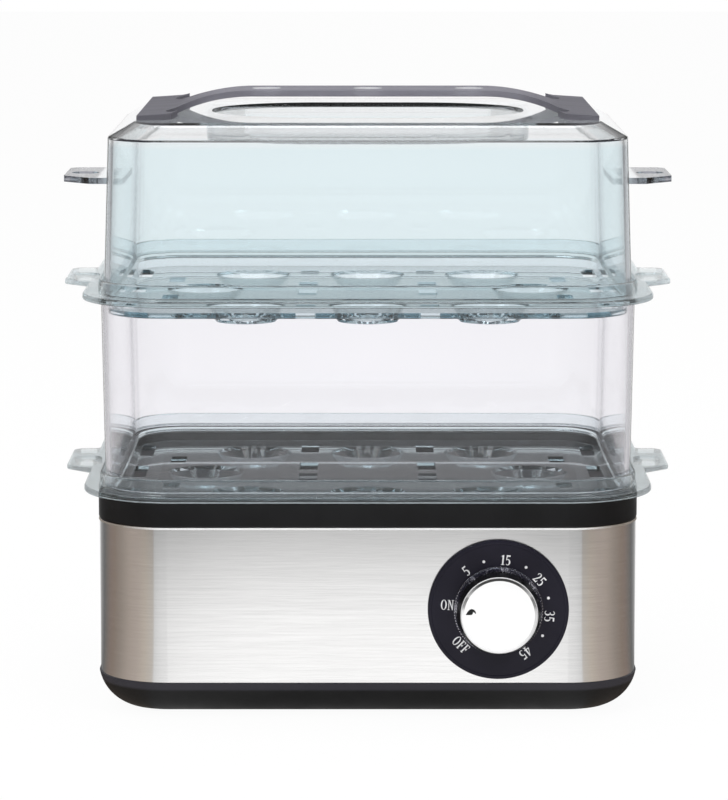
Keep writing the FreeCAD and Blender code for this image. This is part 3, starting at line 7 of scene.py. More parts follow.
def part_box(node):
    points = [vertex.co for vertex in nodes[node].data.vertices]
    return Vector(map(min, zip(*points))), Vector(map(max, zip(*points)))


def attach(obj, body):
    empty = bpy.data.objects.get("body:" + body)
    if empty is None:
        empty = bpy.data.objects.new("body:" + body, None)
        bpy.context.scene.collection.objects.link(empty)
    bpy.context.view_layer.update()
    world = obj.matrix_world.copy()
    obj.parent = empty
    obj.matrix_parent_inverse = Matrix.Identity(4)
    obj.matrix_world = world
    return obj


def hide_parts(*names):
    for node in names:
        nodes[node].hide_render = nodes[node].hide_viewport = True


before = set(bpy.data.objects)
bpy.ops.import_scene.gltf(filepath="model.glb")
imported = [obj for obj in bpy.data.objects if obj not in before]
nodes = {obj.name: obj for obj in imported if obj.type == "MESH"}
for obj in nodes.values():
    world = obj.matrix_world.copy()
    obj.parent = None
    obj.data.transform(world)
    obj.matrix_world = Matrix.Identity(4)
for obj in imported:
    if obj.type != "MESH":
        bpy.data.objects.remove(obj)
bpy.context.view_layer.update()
mm = 0.001
close = 0.001 * mm               # two depths nearer than this are the same
quarterTurn = math.radians(90)
print("frame loaded:", len(nodes), "nodes")


def deselectAll():
    if bpy.context.object and bpy.context.object.mode != "OBJECT":
        bpy.ops.object.mode_set(mode="OBJECT")
    bpy.ops.object.select_all(action="DESELECT")


def pick(piece):
    deselectAll()
    bpy.context.view_layer.objects.active = piece
    piece.select_set(True)


def settle(piece, name):
    # the place goes into the mesh, and the object stays at the origin
    pick(piece)
    bpy.ops.object.transform_apply(location=True, rotation=True, scale=True)
    piece.name = name
    piece.data.name = name
    return piece


def editParts(piece, kind, wanted):
    # edit mode with only the wanted faces, edges or points selected
    pick(piece)
    bpy.ops.object.mode_set(mode="EDIT")
    bpy.ops.mesh.select_mode(type=kind)
    bpy.ops.mesh.select_all(action="DESELECT")
    mesh = bmesh.from_edit_mesh(piece.data)
    parts = {"FACE": mesh.faces, "EDGE": mesh.edges, "VERT": mesh.verts}[kind]
    for part in parts:
        if wanted(part):
            part.select_set(True)
    mesh.select_flush_mode()
    bmesh.update_edit_mesh(piece.data)


def applyModifier(piece, kind, **settings):
    pick(piece)
    modifier = piece.modifiers.new(kind.lower(), kind)
    for key, value in settings.items():
        setattr(modifier, key, value)
    bpy.ops.object.modifier_apply(modifier=modifier.name)


def smooth(piece, degrees):
    pick(piece)
    bpy.ops.object.shade_smooth_by_angle(angle=math.radians(degrees))


def dress(piece, material):
    piece.data.materials.clear()
    piece.data.materials.append(material)


def newMaterial(name, colour, roughness, sockets=()):
    material = bpy.data.materials.new(name)
    material.use_nodes = True
    shader = material.node_tree.nodes["Principled BSDF"]
    shader.inputs["Base Color"].default_value = (*colour, 1)
    shader.inputs["Roughness"].default_value = roughness
    for key, value in sockets:
        shader.inputs[key].default_value = value
    return material


def addNode(material, kind, **inputs):
    node = material.node_tree.nodes.new(kind)
    for key, value in inputs.items():
        node.inputs[key].default_value = value
    return node


def link(material, start, end):
    material.node_tree.links.new(start, end)


def shaderInput(material, key):
    return material.node_tree.nodes["Principled BSDF"].inputs[key]


def addMath(material, operation, first, second=None):
    # first and second are numbers or the outputs of other nodes
    node = material.node_tree.nodes.new("ShaderNodeMath")
    node.operation = operation
    for socket, value in zip(node.inputs, (first, second)):
        if isinstance(value, (int, float)):
            socket.default_value = value
        elif value is not None:
            link(material, value, socket)
    return node.outputs[0]


def addRamp(material, source, stops):
    # stops are (place, grey or colour) from 0 to 1
    ramp = addNode(material, "ShaderNodeValToRGB")
    marks = ramp.color_ramp.elements
    while len(marks) < len(stops):
        marks.new(1)
    for mark, (place, tone) in zip(marks, stops):
        mark.position = place
        mark.color = (tone, tone, tone, 1) if isinstance(tone, (int, float)) else (*tone, 1)
    link(material, source, ramp.inputs["Fac"])
    return ramp.outputs["Color"]


# A ramp has few steps over a metre, so places on the object are spread before one
spread = {"wide": 5, "high": 4, "bores": 50}


def step(material, source, start, end, factor=1, before=0, after=1):
    # from one tone to the next between two places
    spaced = addMath(material, "MULTIPLY", source, factor)
    return addRamp(material, spaced, [(start * factor, before), (end * factor, after)])


def multiply(material, first, second):
    both = addNode(material, "ShaderNodeMixRGB", Fac=1.0)
    both.blend_type = "MULTIPLY"
    link(material, first, both.inputs["Color1"])
    link(material, second, both.inputs["Color2"])
    return both.outputs["Color"]


def choose(material, share, first, second):
    # first where share is 0, second where it is 1
    pair = addNode(material, "ShaderNodeMixRGB")
    link(material, share, pair.inputs["Fac"])
    for value, socket in ((first, pair.inputs["Color1"]), (second, pair.inputs["Color2"])):
        if isinstance(value, (tuple, list)):
            socket.default_value = (*value, 1)
        else:
            link(material, value, socket)
    return pair.outputs["Color"]


def placeOn(material):
    # the piece's own x, y and z, in metres
    place = addNode(material, "ShaderNodeTexCoord")
    split = addNode(material, "ShaderNodeSeparateXYZ")
    link(material, place.outputs["Object"], split.inputs["Vector"])
    return split.outputs["X"], split.outputs["Y"], split.outputs["Z"]


def sizes(material, *sources):
    # how far out from the middle, to either side
    return [addMath(material, "ABSOLUTE", source) for source in sources]


def distance(material, first, second):
    squares = [addMath(material, "MULTIPLY", source, source) for source in (first, second)]
    return addMath(material, "SQRT", addMath(material, "ADD", *squares))


def baseColour(material, source):
    link(material, source, shaderInput(material, "Base Color"))


def overPaint(material, share, tone):
    # another tone over the colour that is there, where share is 1
    was = shaderInput(material, "Base Color").links[0].from_socket
    baseColour(material, choose(material, share, was, tone))


def noiseOn(material, scale, detail=3.0, stretch=(1, 1, 1)):
    # noise on the piece's own coordinates, per millimetre when scale is 1
    place = addNode(material, "ShaderNodeTexCoord")
    mapping = addNode(material, "ShaderNodeMapping", Scale=[part / mm for part in stretch])
    noise = addNode(material, "ShaderNodeTexNoise", Scale=scale, Detail=detail)
    link(material, place.outputs["Object"], mapping.inputs["Vector"])
    link(material, mapping.outputs["Vector"], noise.inputs["Vector"])
    return noise.outputs["Fac"]


# Where most of a noise's values lie
noiseSpan = {"colour": (0.35, 0.65), "roughness": (0.3, 0.7)}


def varyColour(material, source, low, high, span=noiseSpan["colour"]):
    baseColour(material, addRamp(material, source, [(span[0], low), (span[1], high)]))


def varyRoughness(material, source, low, high):
    between = addNode(material, "ShaderNodeMapRange")
    limits = (*noiseSpan["roughness"], low, high)
    for key, limit in zip(("From Min", "From Max", "To Min", "To Max"), limits):
        between.inputs[key].default_value = limit
    link(material, source, between.inputs["Value"])
    link(material, between.outputs["Result"], shaderInput(material, "Roughness"))


def addBump(material, source, strength, depth):
    bump = addNode(material, "ShaderNodeBump", Strength=strength, Distance=depth * mm)
    link(material, source, bump.inputs["Height"])
    link(material, bump.outputs["Normal"], shaderInput(material, "Normal"))


# Satin mouldings: fine spark-eroded grain and slightly uneven gloss
moulding = {
    "paler": 1.25,               # palest patches, as a share of the colour
    "lift": 0.001,
    "patches": 0.05,             # noise per millimetre
    "glossPatches": 0.12,
    "glossDetail": 4,
    "smoother": 0.05,            # how far the roughness falls and rises
    "rougher": 0.06,
    "grainDetail": 2,
    "bump": 0.35,
}


def mouldedPlastic(name, colour, roughness, grain=0.03, grainScale=3.0, shine=0.5):
    material = newMaterial(name, colour, roughness, [("Specular IOR Level", shine)])
    paler = [min(1, part * moulding["paler"] + moulding["lift"]) for part in colour]
    varyColour(material, noiseOn(material, moulding["patches"]), colour, paler)
    gloss = noiseOn(material, moulding["glossPatches"], moulding["glossDetail"])
    varyRoughness(material, gloss, roughness - moulding["smoother"], roughness + moulding["rougher"])
    addBump(material, noiseOn(material, grainScale, moulding["grainDetail"]), moulding["bump"], grain)
    return material


casting = {
    "patches": (0.3, 4),         # noise per millimetre, and its detail
    "glossPatches": (0.5, 3),
    "smoother": 0.8,             # shares of the roughness
    "rougher": 1.25,
    "grainDetail": 2,
    "bump": 0.3,
}


def castMetal(name, colour, roughness, grainScale=1.5, grain=0.01, evenness=0.82, metal=1.0):
    material = newMaterial(name, colour, roughness, [("Metallic", metal)])
    darker = [part * evenness for part in colour]
    varyColour(material, noiseOn(material, *casting["patches"]), darker, colour)
    gloss = noiseOn(material, *casting["glossPatches"])
    varyRoughness(material, gloss, roughness * casting["smoother"], roughness * casting["rougher"])
    addBump(material, noiseOn(material, grainScale, casting["grainDetail"]), casting["bump"], grain)
    return material


# Brush lines run level round the band: fine across, long along
brushing = {
    "sockets": [("Metallic", 1), ("Anisotropic", 0.85), ("Anisotropic Rotation", 0.25)],
    "lines": (1.0, 5, (0.10, 0.10, 3.2)),
    "broad": (1.0, 2, (0.02, 0.02, 0.6)),
    "gloss": (1.0, 3, (0.03, 0.03, 2.5)),
    "lineShare": 0.8,
    "darker": 0.955,
    "span": (0.36, 0.58),
    "smoother": 0.03,
    "rougher": 0.04,
    "bump": 0.2,
    "depth": 0.01,
}


def brushedSteel(name, colour, roughness):
    material = newMaterial(name, colour, roughness, brushing["sockets"])
    lines, broad = noiseOn(material, *brushing["lines"]), noiseOn(material, *brushing["broad"])
    mixed = addMath(material, "ADD", addMath(material, "MULTIPLY", lines, brushing["lineShare"]),
                    addMath(material, "MULTIPLY", broad, 1 - brushing["lineShare"]))
    darker = [part * brushing["darker"] for part in colour]
    varyColour(material, mixed, darker, colour, brushing["span"])
    gloss = noiseOn(material, *brushing["gloss"])
    varyRoughness(material, gloss, roughness - brushing["smoother"], roughness + brushing["rougher"])
    addBump(material, lines, brushing["bump"], brushing["depth"])
    around = material.node_tree.nodes.new("ShaderNodeTangent")
    around.direction_type = "RADIAL"
    around.axis = "Z"
    link(material, around.outputs["Tangent"], shaderInput(material, "Tangent"))
    return material


# Clear mouldings bend what is behind them and take their colour through their depth
clearing = {
    "ripple": (0.05, 2),         # noise per millimetre, and its detail
    "bump": 0.12,
    "depth": 0.012,
    "shadowTint": 0.1,           # how much of the tint a shadow takes
}
trayEnds = {
    "start": 96 * mm,            # from here out the flange and the ears are thin and hardly bend the view
    "end": 98 * mm,
    "share": 0.5,
}
fingerWell = {
    "heights": [(203 * mm, 0), (204 * mm, 1), (215 * mm, 1), (215.25 * mm, 0)],
    "wide": 61 * mm,             # half its width and half its depth, with its walls
    "deep": 45 * mm,
    "fade": 1 * mm,
    "share": 0.6,                # how much of the view goes straight on
}


def thinEnds(material):
    wide = sizes(material, placeOn(material)[0])[0]
    out = step(material, wide, trayEnds["start"], trayEnds["end"], spread["wide"])
    return addMath(material, "MULTIPLY", out, trayEnds["share"])


def thinWell(material):
    x, y, z = placeOn(material)
    stops = [(height * spread["high"], tone) for height, tone in fingerWell["heights"]]
    inside = addRamp(material, addMath(material, "MULTIPLY", z, spread["high"]), stops)
    for size, limit in zip(sizes(material, x, y), (fingerWell["wide"], fingerWell["deep"])):
        within = step(material, size, limit, limit + fingerWell["fade"], spread["wide"], 1, 0)
        inside = addMath(material, "MULTIPLY", inside, within)
    return addMath(material, "MULTIPLY", inside, fingerWell["share"])


def clearPlastic(name, tint, roughness, depthColour=None, density=0, clear=1.0, bend=1.5, shine=0.5,
                 thin=None):
    material = newMaterial(name, tint, roughness, [("IOR", bend), ("Transmission Weight", clear),
                                                   ("Specular IOR Level", shine)])
    tree = material.node_tree
    addBump(material, noiseOn(material, *clearing["ripple"]), clearing["bump"], clearing["depth"])
    output = tree.nodes["Material Output"]
    path = addNode(material, "ShaderNodeLightPath")
    shadow = [1 - clearing["shadowTint"] * (1 - part) for part in tint]
    through = addNode(material, "ShaderNodeBsdfTransparent", Color=(*shadow, 1))
    mix = addNode(material, "ShaderNodeMixShader")
    straight = path.outputs["Is Shadow Ray"]
    if thin:
        straight = addMath(material, "MAXIMUM", straight, thin(material))
    link(material, straight, mix.inputs["Fac"])
    link(material, tree.nodes["Principled BSDF"].outputs["BSDF"], mix.inputs[1])
    link(material, through.outputs["BSDF"], mix.inputs[2])
    link(material, mix.outputs["Shader"], output.inputs["Surface"])
    if density:
        depth = addNode(material, "ShaderNodeVolumeAbsorption", Color=(*depthColour, 1), Density=density)
        link(material, depth.outputs["Volume"], output.inputs["Volume"])
    return material


finishes = {
    "baseBlack": mouldedPlastic("baseBlack", (0.0075, 0.0073, 0.0076), 0.45, shine=0.28),
    "rimBlack": mouldedPlastic("rimBlack", (0.006, 0.006, 0.0065), 0.42, shine=0.22),
    "dialBlack": mouldedPlastic("dialBlack", (0.0105, 0.0094, 0.0175), 0.38, 0.01, shine=0.22),
    "softRubber": mouldedPlastic("softRubber", (0.016, 0.016, 0.017), 0.75, 0.05, 2.0, 0.3),
    "sealSilicone": mouldedPlastic("sealSilicone", (0.62, 0.61, 0.58), 0.55),
    "bandSteel": brushedSteel("bandSteel", (0.995, 0.99, 0.985), 0.13),
    "panCoating": mouldedPlastic("panCoating", (0.012, 0.012, 0.014), 0.6, 0.05, 2.0, 0.3),
    "fixingSteel": castMetal("fixingSteel", (0.62, 0.62, 0.61), 0.3),
    "spreaderAluminium": castMetal("spreaderAluminium", (0.72, 0.72, 0.73), 0.45),
    "elementSteel": castMetal("elementSteel", (0.30, 0.29, 0.28), 0.5),
    "thermostatResin": mouldedPlastic("thermostatResin", (0.09, 0.045, 0.03), 0.5),
    "fuseCeramic": mouldedPlastic("fuseCeramic", (0.78, 0.76, 0.72), 0.45),
    "timerCase": mouldedPlastic("timerCase", (0.58, 0.56, 0.50), 0.45),
    "bushBrass": castMetal("bushBrass", (0.72, 0.55, 0.27), 0.28),
    "bellSteel": castMetal("bellSteel", (0.72, 0.72, 0.71), 0.18),
    "knobChrome": castMetal("knobChrome", (0.80, 0.79, 0.87), 0.22, 2.0, 0.004),
    "knobPolish": castMetal("knobPolish", (0.99, 0.99, 0.99), 0.2, 1.0, 0.0003, 0.995, 0.3),
    "glandRubber": mouldedPlastic("glandRubber", (0.02, 0.02, 0.021), 0.6, 0.04),
    "nutPlastic": mouldedPlastic("nutPlastic", (0.03, 0.03, 0.032), 0.45),
    "blockPlastic": mouldedPlastic("blockPlastic", (0.72, 0.71, 0.66), 0.4),
    "terminalBrass": castMetal("terminalBrass", (0.70, 0.54, 0.27), 0.3),
    "leadBrown": mouldedPlastic("leadBrown", (0.16, 0.06, 0.025), 0.4),
    "leadWhite": mouldedPlastic("leadWhite", (0.75, 0.74, 0.70), 0.45),
    "leadBlue": mouldedPlastic("leadBlue", (0.02, 0.08, 0.35), 0.4),
    "leadGreen": mouldedPlastic("leadGreen", (0.08, 0.35, 0.06), 0.4),
    "trayPlastic": clearPlastic("trayPlastic", (0.88, 0.925, 0.94), 0.03, (0.40, 0.60, 0.66), 20,
                                thin=thinEnds),
    "ringPlastic": clearPlastic("ringPlastic", (0.985, 0.98, 1.0), 0.02, (0.50, 0.50, 0.54), 10),
    "lidPlastic": clearPlastic("lidPlastic", (0.925, 0.985, 1.0), 0.02, (0.52, 0.55, 0.58), 40,
                               thin=thinWell),
    "handlePlastic": clearPlastic("handlePlastic", (0.27, 0.265, 0.305), 0.5, clear=0.3, bend=1.2,
                                  shine=0.08),
}

# Painted reflection: the upright edge over the base's rounded foot is painted paler, standing in for the
# bright floor it mirrors
baseEdgeSheen = {
    "height": 3.3 * mm,
    "fade": 1 * mm,
    "tone": (0.033, 0.0315, 0.04),
}


def paintBaseEdgeSheen(material):
    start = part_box("steel_band")[0].z - baseEdgeSheen["height"]
    above = addMath(material, "SUBTRACT", placeOn(material)[2], start)
    # painted reflection: the paler tone over the upright edge
    overPaint(material, step(material, above, 0, baseEdgeSheen["fade"], 1 / baseEdgeSheen["fade"]), baseEdgeSheen["tone"])


# Painted dark reflection: clear walls are painted darker, with a darker outline, at the corners where they
# curve away from the view
cornerPaintedShade = {
    "wide": (78 * mm, 84 * mm),  # where the corners begin, from the middle
    "deep": (63 * mm, 69 * mm),
    "edge": (0.4, 0.7),          # how far the wall has turned from the view
    "outline": (0.54, 0.7),
    "outlineShadeTone": (0.25, 0.24, 0.27),
}
# each wall's edge tone is the painted dark reflection at its corners
ringWall = {"clear": (0.985, 0.98, 1.0), "edge": (0.6, 0.59, 0.62)}
lidWall = {
    "clear": (0.925, 0.985, 1.0),
    "edge": (0.5, 0.49, 0.52),
    "top": (0.99, 0.992, 0.995),
    "topFrom": (208 * mm, 210 * mm),
    "ear": (0.52, 0.52, 0.56),
    "earFrom": (100.5 * mm, 101.7 * mm),
    "earFrost": 0.7,
    "roughness": (0.02, 0.16),
}


def paintWalls(material, wall):
    x, y, z = placeOn(material)
    wide, deep = sizes(material, x, y)
    facing = addNode(material, "ShaderNodeLayerWeight", Blend=0.5).outputs["Facing"]
    corner = addMath(material, "MINIMUM", step(material, wide, *cornerPaintedShade["wide"]),
                     step(material, deep, *cornerPaintedShade["deep"]))
    # painted dark reflection and painted dark outline where the corner turns from the view
    edge = addMath(material, "MULTIPLY", corner, step(material, facing, *cornerPaintedShade["edge"]))
    outline = addMath(material, "MULTIPLY", corner, step(material, facing, *cornerPaintedShade["outline"]))
    colour = choose(material, edge, wall["clear"], wall["edge"])
    colour = choose(material, outline, colour, cornerPaintedShade["outlineShadeTone"])
    if "top" in wall:
        colour = choose(material, step(material, z, *wall["topFrom"], spread["high"]), colour, wall["top"])
    if "ear" in wall:
        out = step(material, wide, *wall["earFrom"], spread["wide"])
        colour = choose(material, out, colour, wall["ear"])
        varyRoughness(material, addMath(material, "MULTIPLY", out, wall["earFrost"]), *wall["roughness"])
    baseColour(material, colour)


handle = {
    "tone": (0.27, 0.265, 0.305),
    "holeHighlight": (0.95, 0.95, 0.97),  # painted highlight: the bores of the three holes are painted pale where they catch the light
    "holeSpread": 38.4 * mm,
    "holeRadius": 5.25 * mm,
    "holeFade": 0.16 * mm,
    "feetFrom": (56 * mm, 72 * mm),
    "feet": 0.66,                # the feet are darker than the strap
    "flow": (1.0, 3, (0.02, 0.16, 0.16)),
    "flowSpan": [(0.36, 0.84), (0.62, 1.0)],
}


def paintHandle(material):
    x, y = placeOn(material)[:2]
    wide = sizes(material, x)[0]
    middle = distance(material, wide, y)
    side = distance(material, addMath(material, "SUBTRACT", wide, handle["holeSpread"]), y)
    # painted highlight in the three holes
    tone = step(material, addMath(material, "MINIMUM", middle, side), handle["holeRadius"],
                handle["holeRadius"] + handle["holeFade"], spread["bores"], handle["holeHighlight"], handle["tone"])
    feet = step(material, wide, *handle["feetFrom"], spread["wide"], 1, handle["feet"])
    flow = addRamp(material, noiseOn(material, *handle["flow"]), handle["flowSpan"])
    baseColour(material, multiply(material, multiply(material, tone, feet), flow))


nodeFinish = {
    "baseBlack": ["base_bottom"],
    "softRubber": ["foot_front_left", "foot_back_left", "foot_front_right", "foot_back_right"],
    "bandSteel": ["steel_band"],
    "rimBlack": ["top_rim"],
    "panCoating": ["heating_pan"],
    "sealSilicone": ["pan_seal"],
    "fixingSteel": ["pan_studs", "pan_nuts", "pan_washers", "earth_lug", "thermostat_screws", "fuse_clip",
                    "base_screws", "timer_screws", "bell_screw", "timer_shaft", "knob_spring"],
    "spreaderAluminium": ["heat_spreader"],
    "elementSteel": ["heating_element", "element_pins"],
    "thermostatResin": ["thermostat"],
    "fuseCeramic": ["thermal_fuse"],
    "timerCase": ["timer_body"],
    "bushBrass": ["timer_bush"],
    "bellSteel": ["timer_bell"],
    "dialBlack": ["dial_plate"],
    "knobChrome": ["knob_body"],
    "knobPolish": ["knob_cap"],
    "glandRubber": ["cord_gland"],
    "nutPlastic": ["gland_nut"],
    "blockPlastic": ["terminal_block"],
    "terminalBrass": ["terminal_screws"],
    "leadBrown": ["live_lead", "switched_lead"],
    "leadWhite": ["fuse_lead", "element_lead"],
    "leadBlue": ["neutral_lead"],
    "leadGreen": ["earth_lead"],
    "trayPlastic": ["lower_tray", "upper_tray"],
    "ringPlastic": ["middle_ring"],
    "lidPlastic": ["lid"],
    "handlePlastic": ["lid_handle"],
}
paintBaseEdgeSheen(finishes["baseBlack"])
paintWalls(finishes["lidPlastic"], lidWall)
paintWalls(finishes["ringPlastic"], ringWall)
paintHandle(finishes["handlePlastic"])
for finish, names in nodeFinish.items():
    for name in names:
        dress(nodes[name], finishes[finish])
print("materials on", sum(len(names) for names in nodeFinish.values()), "nodes")

knobLow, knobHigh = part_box("knob_body")
faceLow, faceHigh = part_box("knob_cap")
knobX = (knobLow.x + knobHigh.x) / 2
knobZ = (knobLow.z + knobHigh.z) / 2
knobRadius = (knobHigh.x - knobLow.x) / 2
faceRadius = (faceHigh.x - faceLow.x) / 2
knob = {
    "ridges": 96,
    "ridgePoints": 4,            # half of them on the ridge, half in the valley
    "ridgeDepth": 0.34 * mm,
    "ridgeRun": 0.15 * mm,       # from the plain collar to the full ridges
    "edgeShare": 0.985,          # how much the grip draws in at its two edges
    "backEdge": 0.25 * mm,
    "foot": 0.5 * mm,            # plain collar at the dial
    "skirt": 0.5,                # where the ridges end, as a share of the length
    "skirtTaper": 0.95,          # radius there over the radius at the foot
    "skirtRun": 0.35 * mm,
    "shoulderFrom": 0.1 * mm,    # past the skirt the chrome shoulder is painted black, a painted dark reflection
    "bead": 14.05 * mm,          # outer radius of the bead round the face, which carries a painted highlight
    "beadDeep": 0.5 * mm,        # how far it lies behind the front
    "beadFoot": 0.2 * mm,
    "beadRun": 0.15 * mm,
    "beadFrom": 0.02 * mm,
    "recessGap": 0.08 * mm,      # round the face
    "recessEdge": 0.05 * mm,
    "recess": 0.9 * mm,
    "grain": 25,                 # degrees up to which it is smooth
}
knobDisc = {
    "inset": 0.1 * mm,
    "wall": 0.3 * mm,
    "edge": 0.05 * mm,
    "flat": 12.8 * mm,           # radius of the face inside its polished slope
    "slope": 0.22 * mm,          # how far the slope falls back
    "back": 0.04 * mm,           # the face lies this far behind the pointer
    "points": 128,
    "smooth": 8,
}
leaf = {
    "place": (-10.3 * mm, 1.45 * mm),
    "size": 3.3 * mm,
    "thick": 0.16 * mm,
    # sharp towards the scale, round on top
    "outline": [(-0.58, -0.34), (-0.42, -0.06), (-0.18, 0.24), (0.08, 0.34), (0.34, 0.26), (0.52, 0.04),
                (0.56, -0.2), (0.44, -0.16), (0.34, -0.02), (0.22, -0.06), (0.20, -0.22), (0.06, -0.34),
                (-0.2, -0.33)],
}
# painted dark reflection: the chrome shoulder past the skirt is painted black
shoulderPaintedDark = mouldedPlastic("shoulderPaintedDark", (0.006, 0.006, 0.007), 0.3, 0.004, shine=0.3)
# painted highlight: the chrome bead is painted near white, standing in for the light line on its edge
beadPaintedHighlight = castMetal("beadPaintedHighlight", (0.95, 0.95, 0.95), 0.4, 1.0, 0.0005, 0.98, 0.3)
slopePolish = castMetal("slopePolish", (0.98, 0.98, 0.98), 0.06, 1.0, 0.0002, 0.99)
leafInk = mouldedPlastic("leafInk", (0.012, 0.013, 0.013), 0.5, 0.004, shine=0.2)


def turned(name, radius, y, points):
    # a flat disc that faces forward, ready to be pushed out ring by ring
    deselectAll()
    bpy.ops.mesh.primitive_circle_add(vertices=points, radius=radius, fill_type="NGON",
                                      location=(knobX, y, knobZ), rotation=(quarterTurn, 0, 0))
    return settle(bpy.context.object, name)


def frontOf(piece):
    return min(vert.co.y for vert in piece.data.vertices)


def editFront(piece):
    front = frontOf(piece)
    editParts(piece, "FACE", lambda face: all(abs(vert.co.y - front) < close for vert in face.verts))


def pushOn(piece, y, factor):
    # the front disc moves forward to y, and the loop under it stays
    move = y - frontOf(piece)
    editFront(piece)
    bpy.ops.mesh.extrude_region_move(TRANSFORM_OT_translate={"value": (0, move, 0)})
    bpy.ops.transform.resize(value=(factor, 1, factor), center_override=(knobX, y, knobZ))
    bpy.ops.object.mode_set(mode="OBJECT")


def scaleValleys(piece, y, factor):
    # every second pair of points on the loop at y
    points = knob["ridgePoints"]

    def valley(vert):
        turn = math.atan2(vert.co.z - knobZ, vert.co.x - knobX) / math.tau * knob["ridges"] * points
        return abs(vert.co.y - y) < close and int(round(turn)) % points >= points / 2

    editParts(piece, "VERT", valley)
    bpy.ops.transform.resize(value=(factor, 1, factor), center_override=(knobX, y, knobZ))
    bpy.ops.object.mode_set(mode="OBJECT")


def paintFrom(piece, material, y):
    # faces whose middle is further forward than y
    piece.data.materials.append(material)
    for face in piece.data.polygons:
        if face.center.y < y:
            face.material_index = len(piece.data.materials) - 1


def makeKnob():
    back, front = knobHigh.y, knobLow.y
    dip = 1 - knob["ridgeDepth"] / knobRadius
    edge = knob["edgeShare"]
    skirtEnd = back - (back - front) * knob["skirt"]
    beadY = front + knob["beadDeep"]
    shoulder = knobRadius * knob["skirtTaper"] * edge
    beadFoot = knob["bead"] + knob["beadFoot"]
    piece = turned("knobGrip", knobRadius * edge, back, knob["ridges"] * knob["ridgePoints"])
    pushOn(piece, back - knob["backEdge"], 1 / edge)
    pushOn(piece, back - knob["foot"], 1)
    pushOn(piece, back - knob["foot"] - knob["ridgeRun"], 1)
    scaleValleys(piece, frontOf(piece), dip)
    pushOn(piece, skirtEnd, knob["skirtTaper"])
    pushOn(piece, skirtEnd - knob["skirtRun"], edge)
    scaleValleys(piece, frontOf(piece), 1 / dip)
    pushOn(piece, beadY + knob["beadRun"], beadFoot / shoulder)
    pushOn(piece, beadY, knob["bead"] / beadFoot)
    pushOn(piece, front, (faceRadius + knob["recessGap"]) / knob["bead"])
    editFront(piece)
    bpy.ops.mesh.inset(thickness=knob["recessEdge"])
    bpy.ops.mesh.extrude_region_move(TRANSFORM_OT_translate={"value": (0, knob["recess"], 0)})
    bpy.ops.object.mode_set(mode="OBJECT")
    smooth(piece, knob["grain"])
    dress(piece, finishes["knobChrome"])
    paintFrom(piece, shoulderPaintedDark, skirtEnd - knob["shoulderFrom"])
    paintFrom(piece, beadPaintedHighlight, beadY - knob["beadFrom"])
    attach(piece, "timer_knob")
    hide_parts("knob_body")


def makeKnobFace():
    # bright disc inside a narrow polished slope, with a rolled outer edge
    flatY, edgeY = faceLow.y + knobDisc["back"], faceLow.y + knobDisc["slope"]
    radius = faceRadius - knobDisc["inset"]
    piece = turned("knobFace", radius, faceHigh.y, knobDisc["points"])
    for y, wide in ((edgeY + knobDisc["wall"], faceRadius), (edgeY, faceRadius - knobDisc["edge"]),
                    (flatY, knobDisc["flat"])):
        pushOn(piece, y, wide / radius)
        radius = wide
    smooth(piece, knobDisc["smooth"])
    dress(piece, finishes["knobPolish"])
    piece.data.materials.append(slopePolish)
    for face in piece.data.polygons:
        if flatY + close < face.center.y < edgeY:
            face.material_index = 1
    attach(piece, "timer_knob")
    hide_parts("knob_cap")


def flatShape(name, outlines, thickness):
    # closed outlines, with any inner one cut out, as a thin mesh in the xy plane
    data = bpy.data.curves.new(name, "CURVE")
    data.dimensions = "2D"
    data.fill_mode = "BOTH"
    data.extrude = thickness / 2
    for outline in outlines:
        spline = data.splines.new("POLY")
        spline.points.add(len(outline) - 1)
        for point, (x, y) in zip(spline.points, outline):
            point.co = (x, y, 0, 1)
        spline.use_cyclic_u = True
    shape = bpy.data.objects.new(name, data)
    bpy.context.scene.collection.objects.link(shape)
    pick(shape)
    bpy.ops.object.convert(target="MESH")
    return bpy.context.object


def stand(shape, x, y, z, degrees=0):
    # upright at a place on the front, turned clockwise
    up = Matrix.Rotation(quarterTurn, 4, "X")
    spin = Matrix.Rotation(math.radians(degrees), 4, "Y")
    shape.data.transform(Matrix.Translation((x, y, z)) @ spin @ up)


def makeLeaf():
    # pressed pointer, filled with ink
    outline = [(x * leaf["size"], y * leaf["size"]) for x, y in leaf["outline"]]
    piece = flatShape("knobLeaf", [outline], leaf["thick"])
    stand(piece, knobX + leaf["place"][0], faceLow.y + leaf["thick"] / 2, knobZ + leaf["place"][1])
    settle(piece, "knobLeaf")
    dress(piece, leafInk)
    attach(piece, "timer_knob")


makeKnob()
makeKnobFace()
makeLeaf()
print("knob made")

dialLow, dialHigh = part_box("dial_plate")
dialX = (dialLow.x + dialHigh.x) / 2
dialZ = (dialLow.z + dialHigh.z) / 2
dial = {
    "radius": 18.7 * mm,         # middle of the words and numbers
    "height": 3.7 * mm,
    "gap": 0.09,                 # between letters, as a share of the height
    "dot": 0.52 * mm,
    "paint": 0.05 * mm,
    # text, place and turn in degrees clockwise from straight up
    "marks": [("OFF", 226.8, 45), ("ON", 276.0, 3), ("5", 320.7, -38), ("15", 7.9, 5), ("25", 52.7, 47),
              ("35", 96.9, 95), ("45", 147.8, 141)],
    "dots": [343.2, 32.2, 76.1, 120.5],
}
border = {
    "radius": 24.1 * mm,
    "deep": 0.1 * mm,            # its foot, below the plate's front
    "height": 0.22 * mm,
    # how far each ring lies outside the last, and how much of the height it rises
    "rings": [(0.25 * mm, 1.0), (0.15 * mm, 0.12), (0.9 * mm, 0.0), (0.12 * mm, -0.2), (0.08 * mm, -1.0)],
    "points": 128,
    "smooth": 60,
}
paintWhite = mouldedPlastic("paintWhite", (0.68, 0.68, 0.69), 0.5, 0.004)
ringPoints = 24


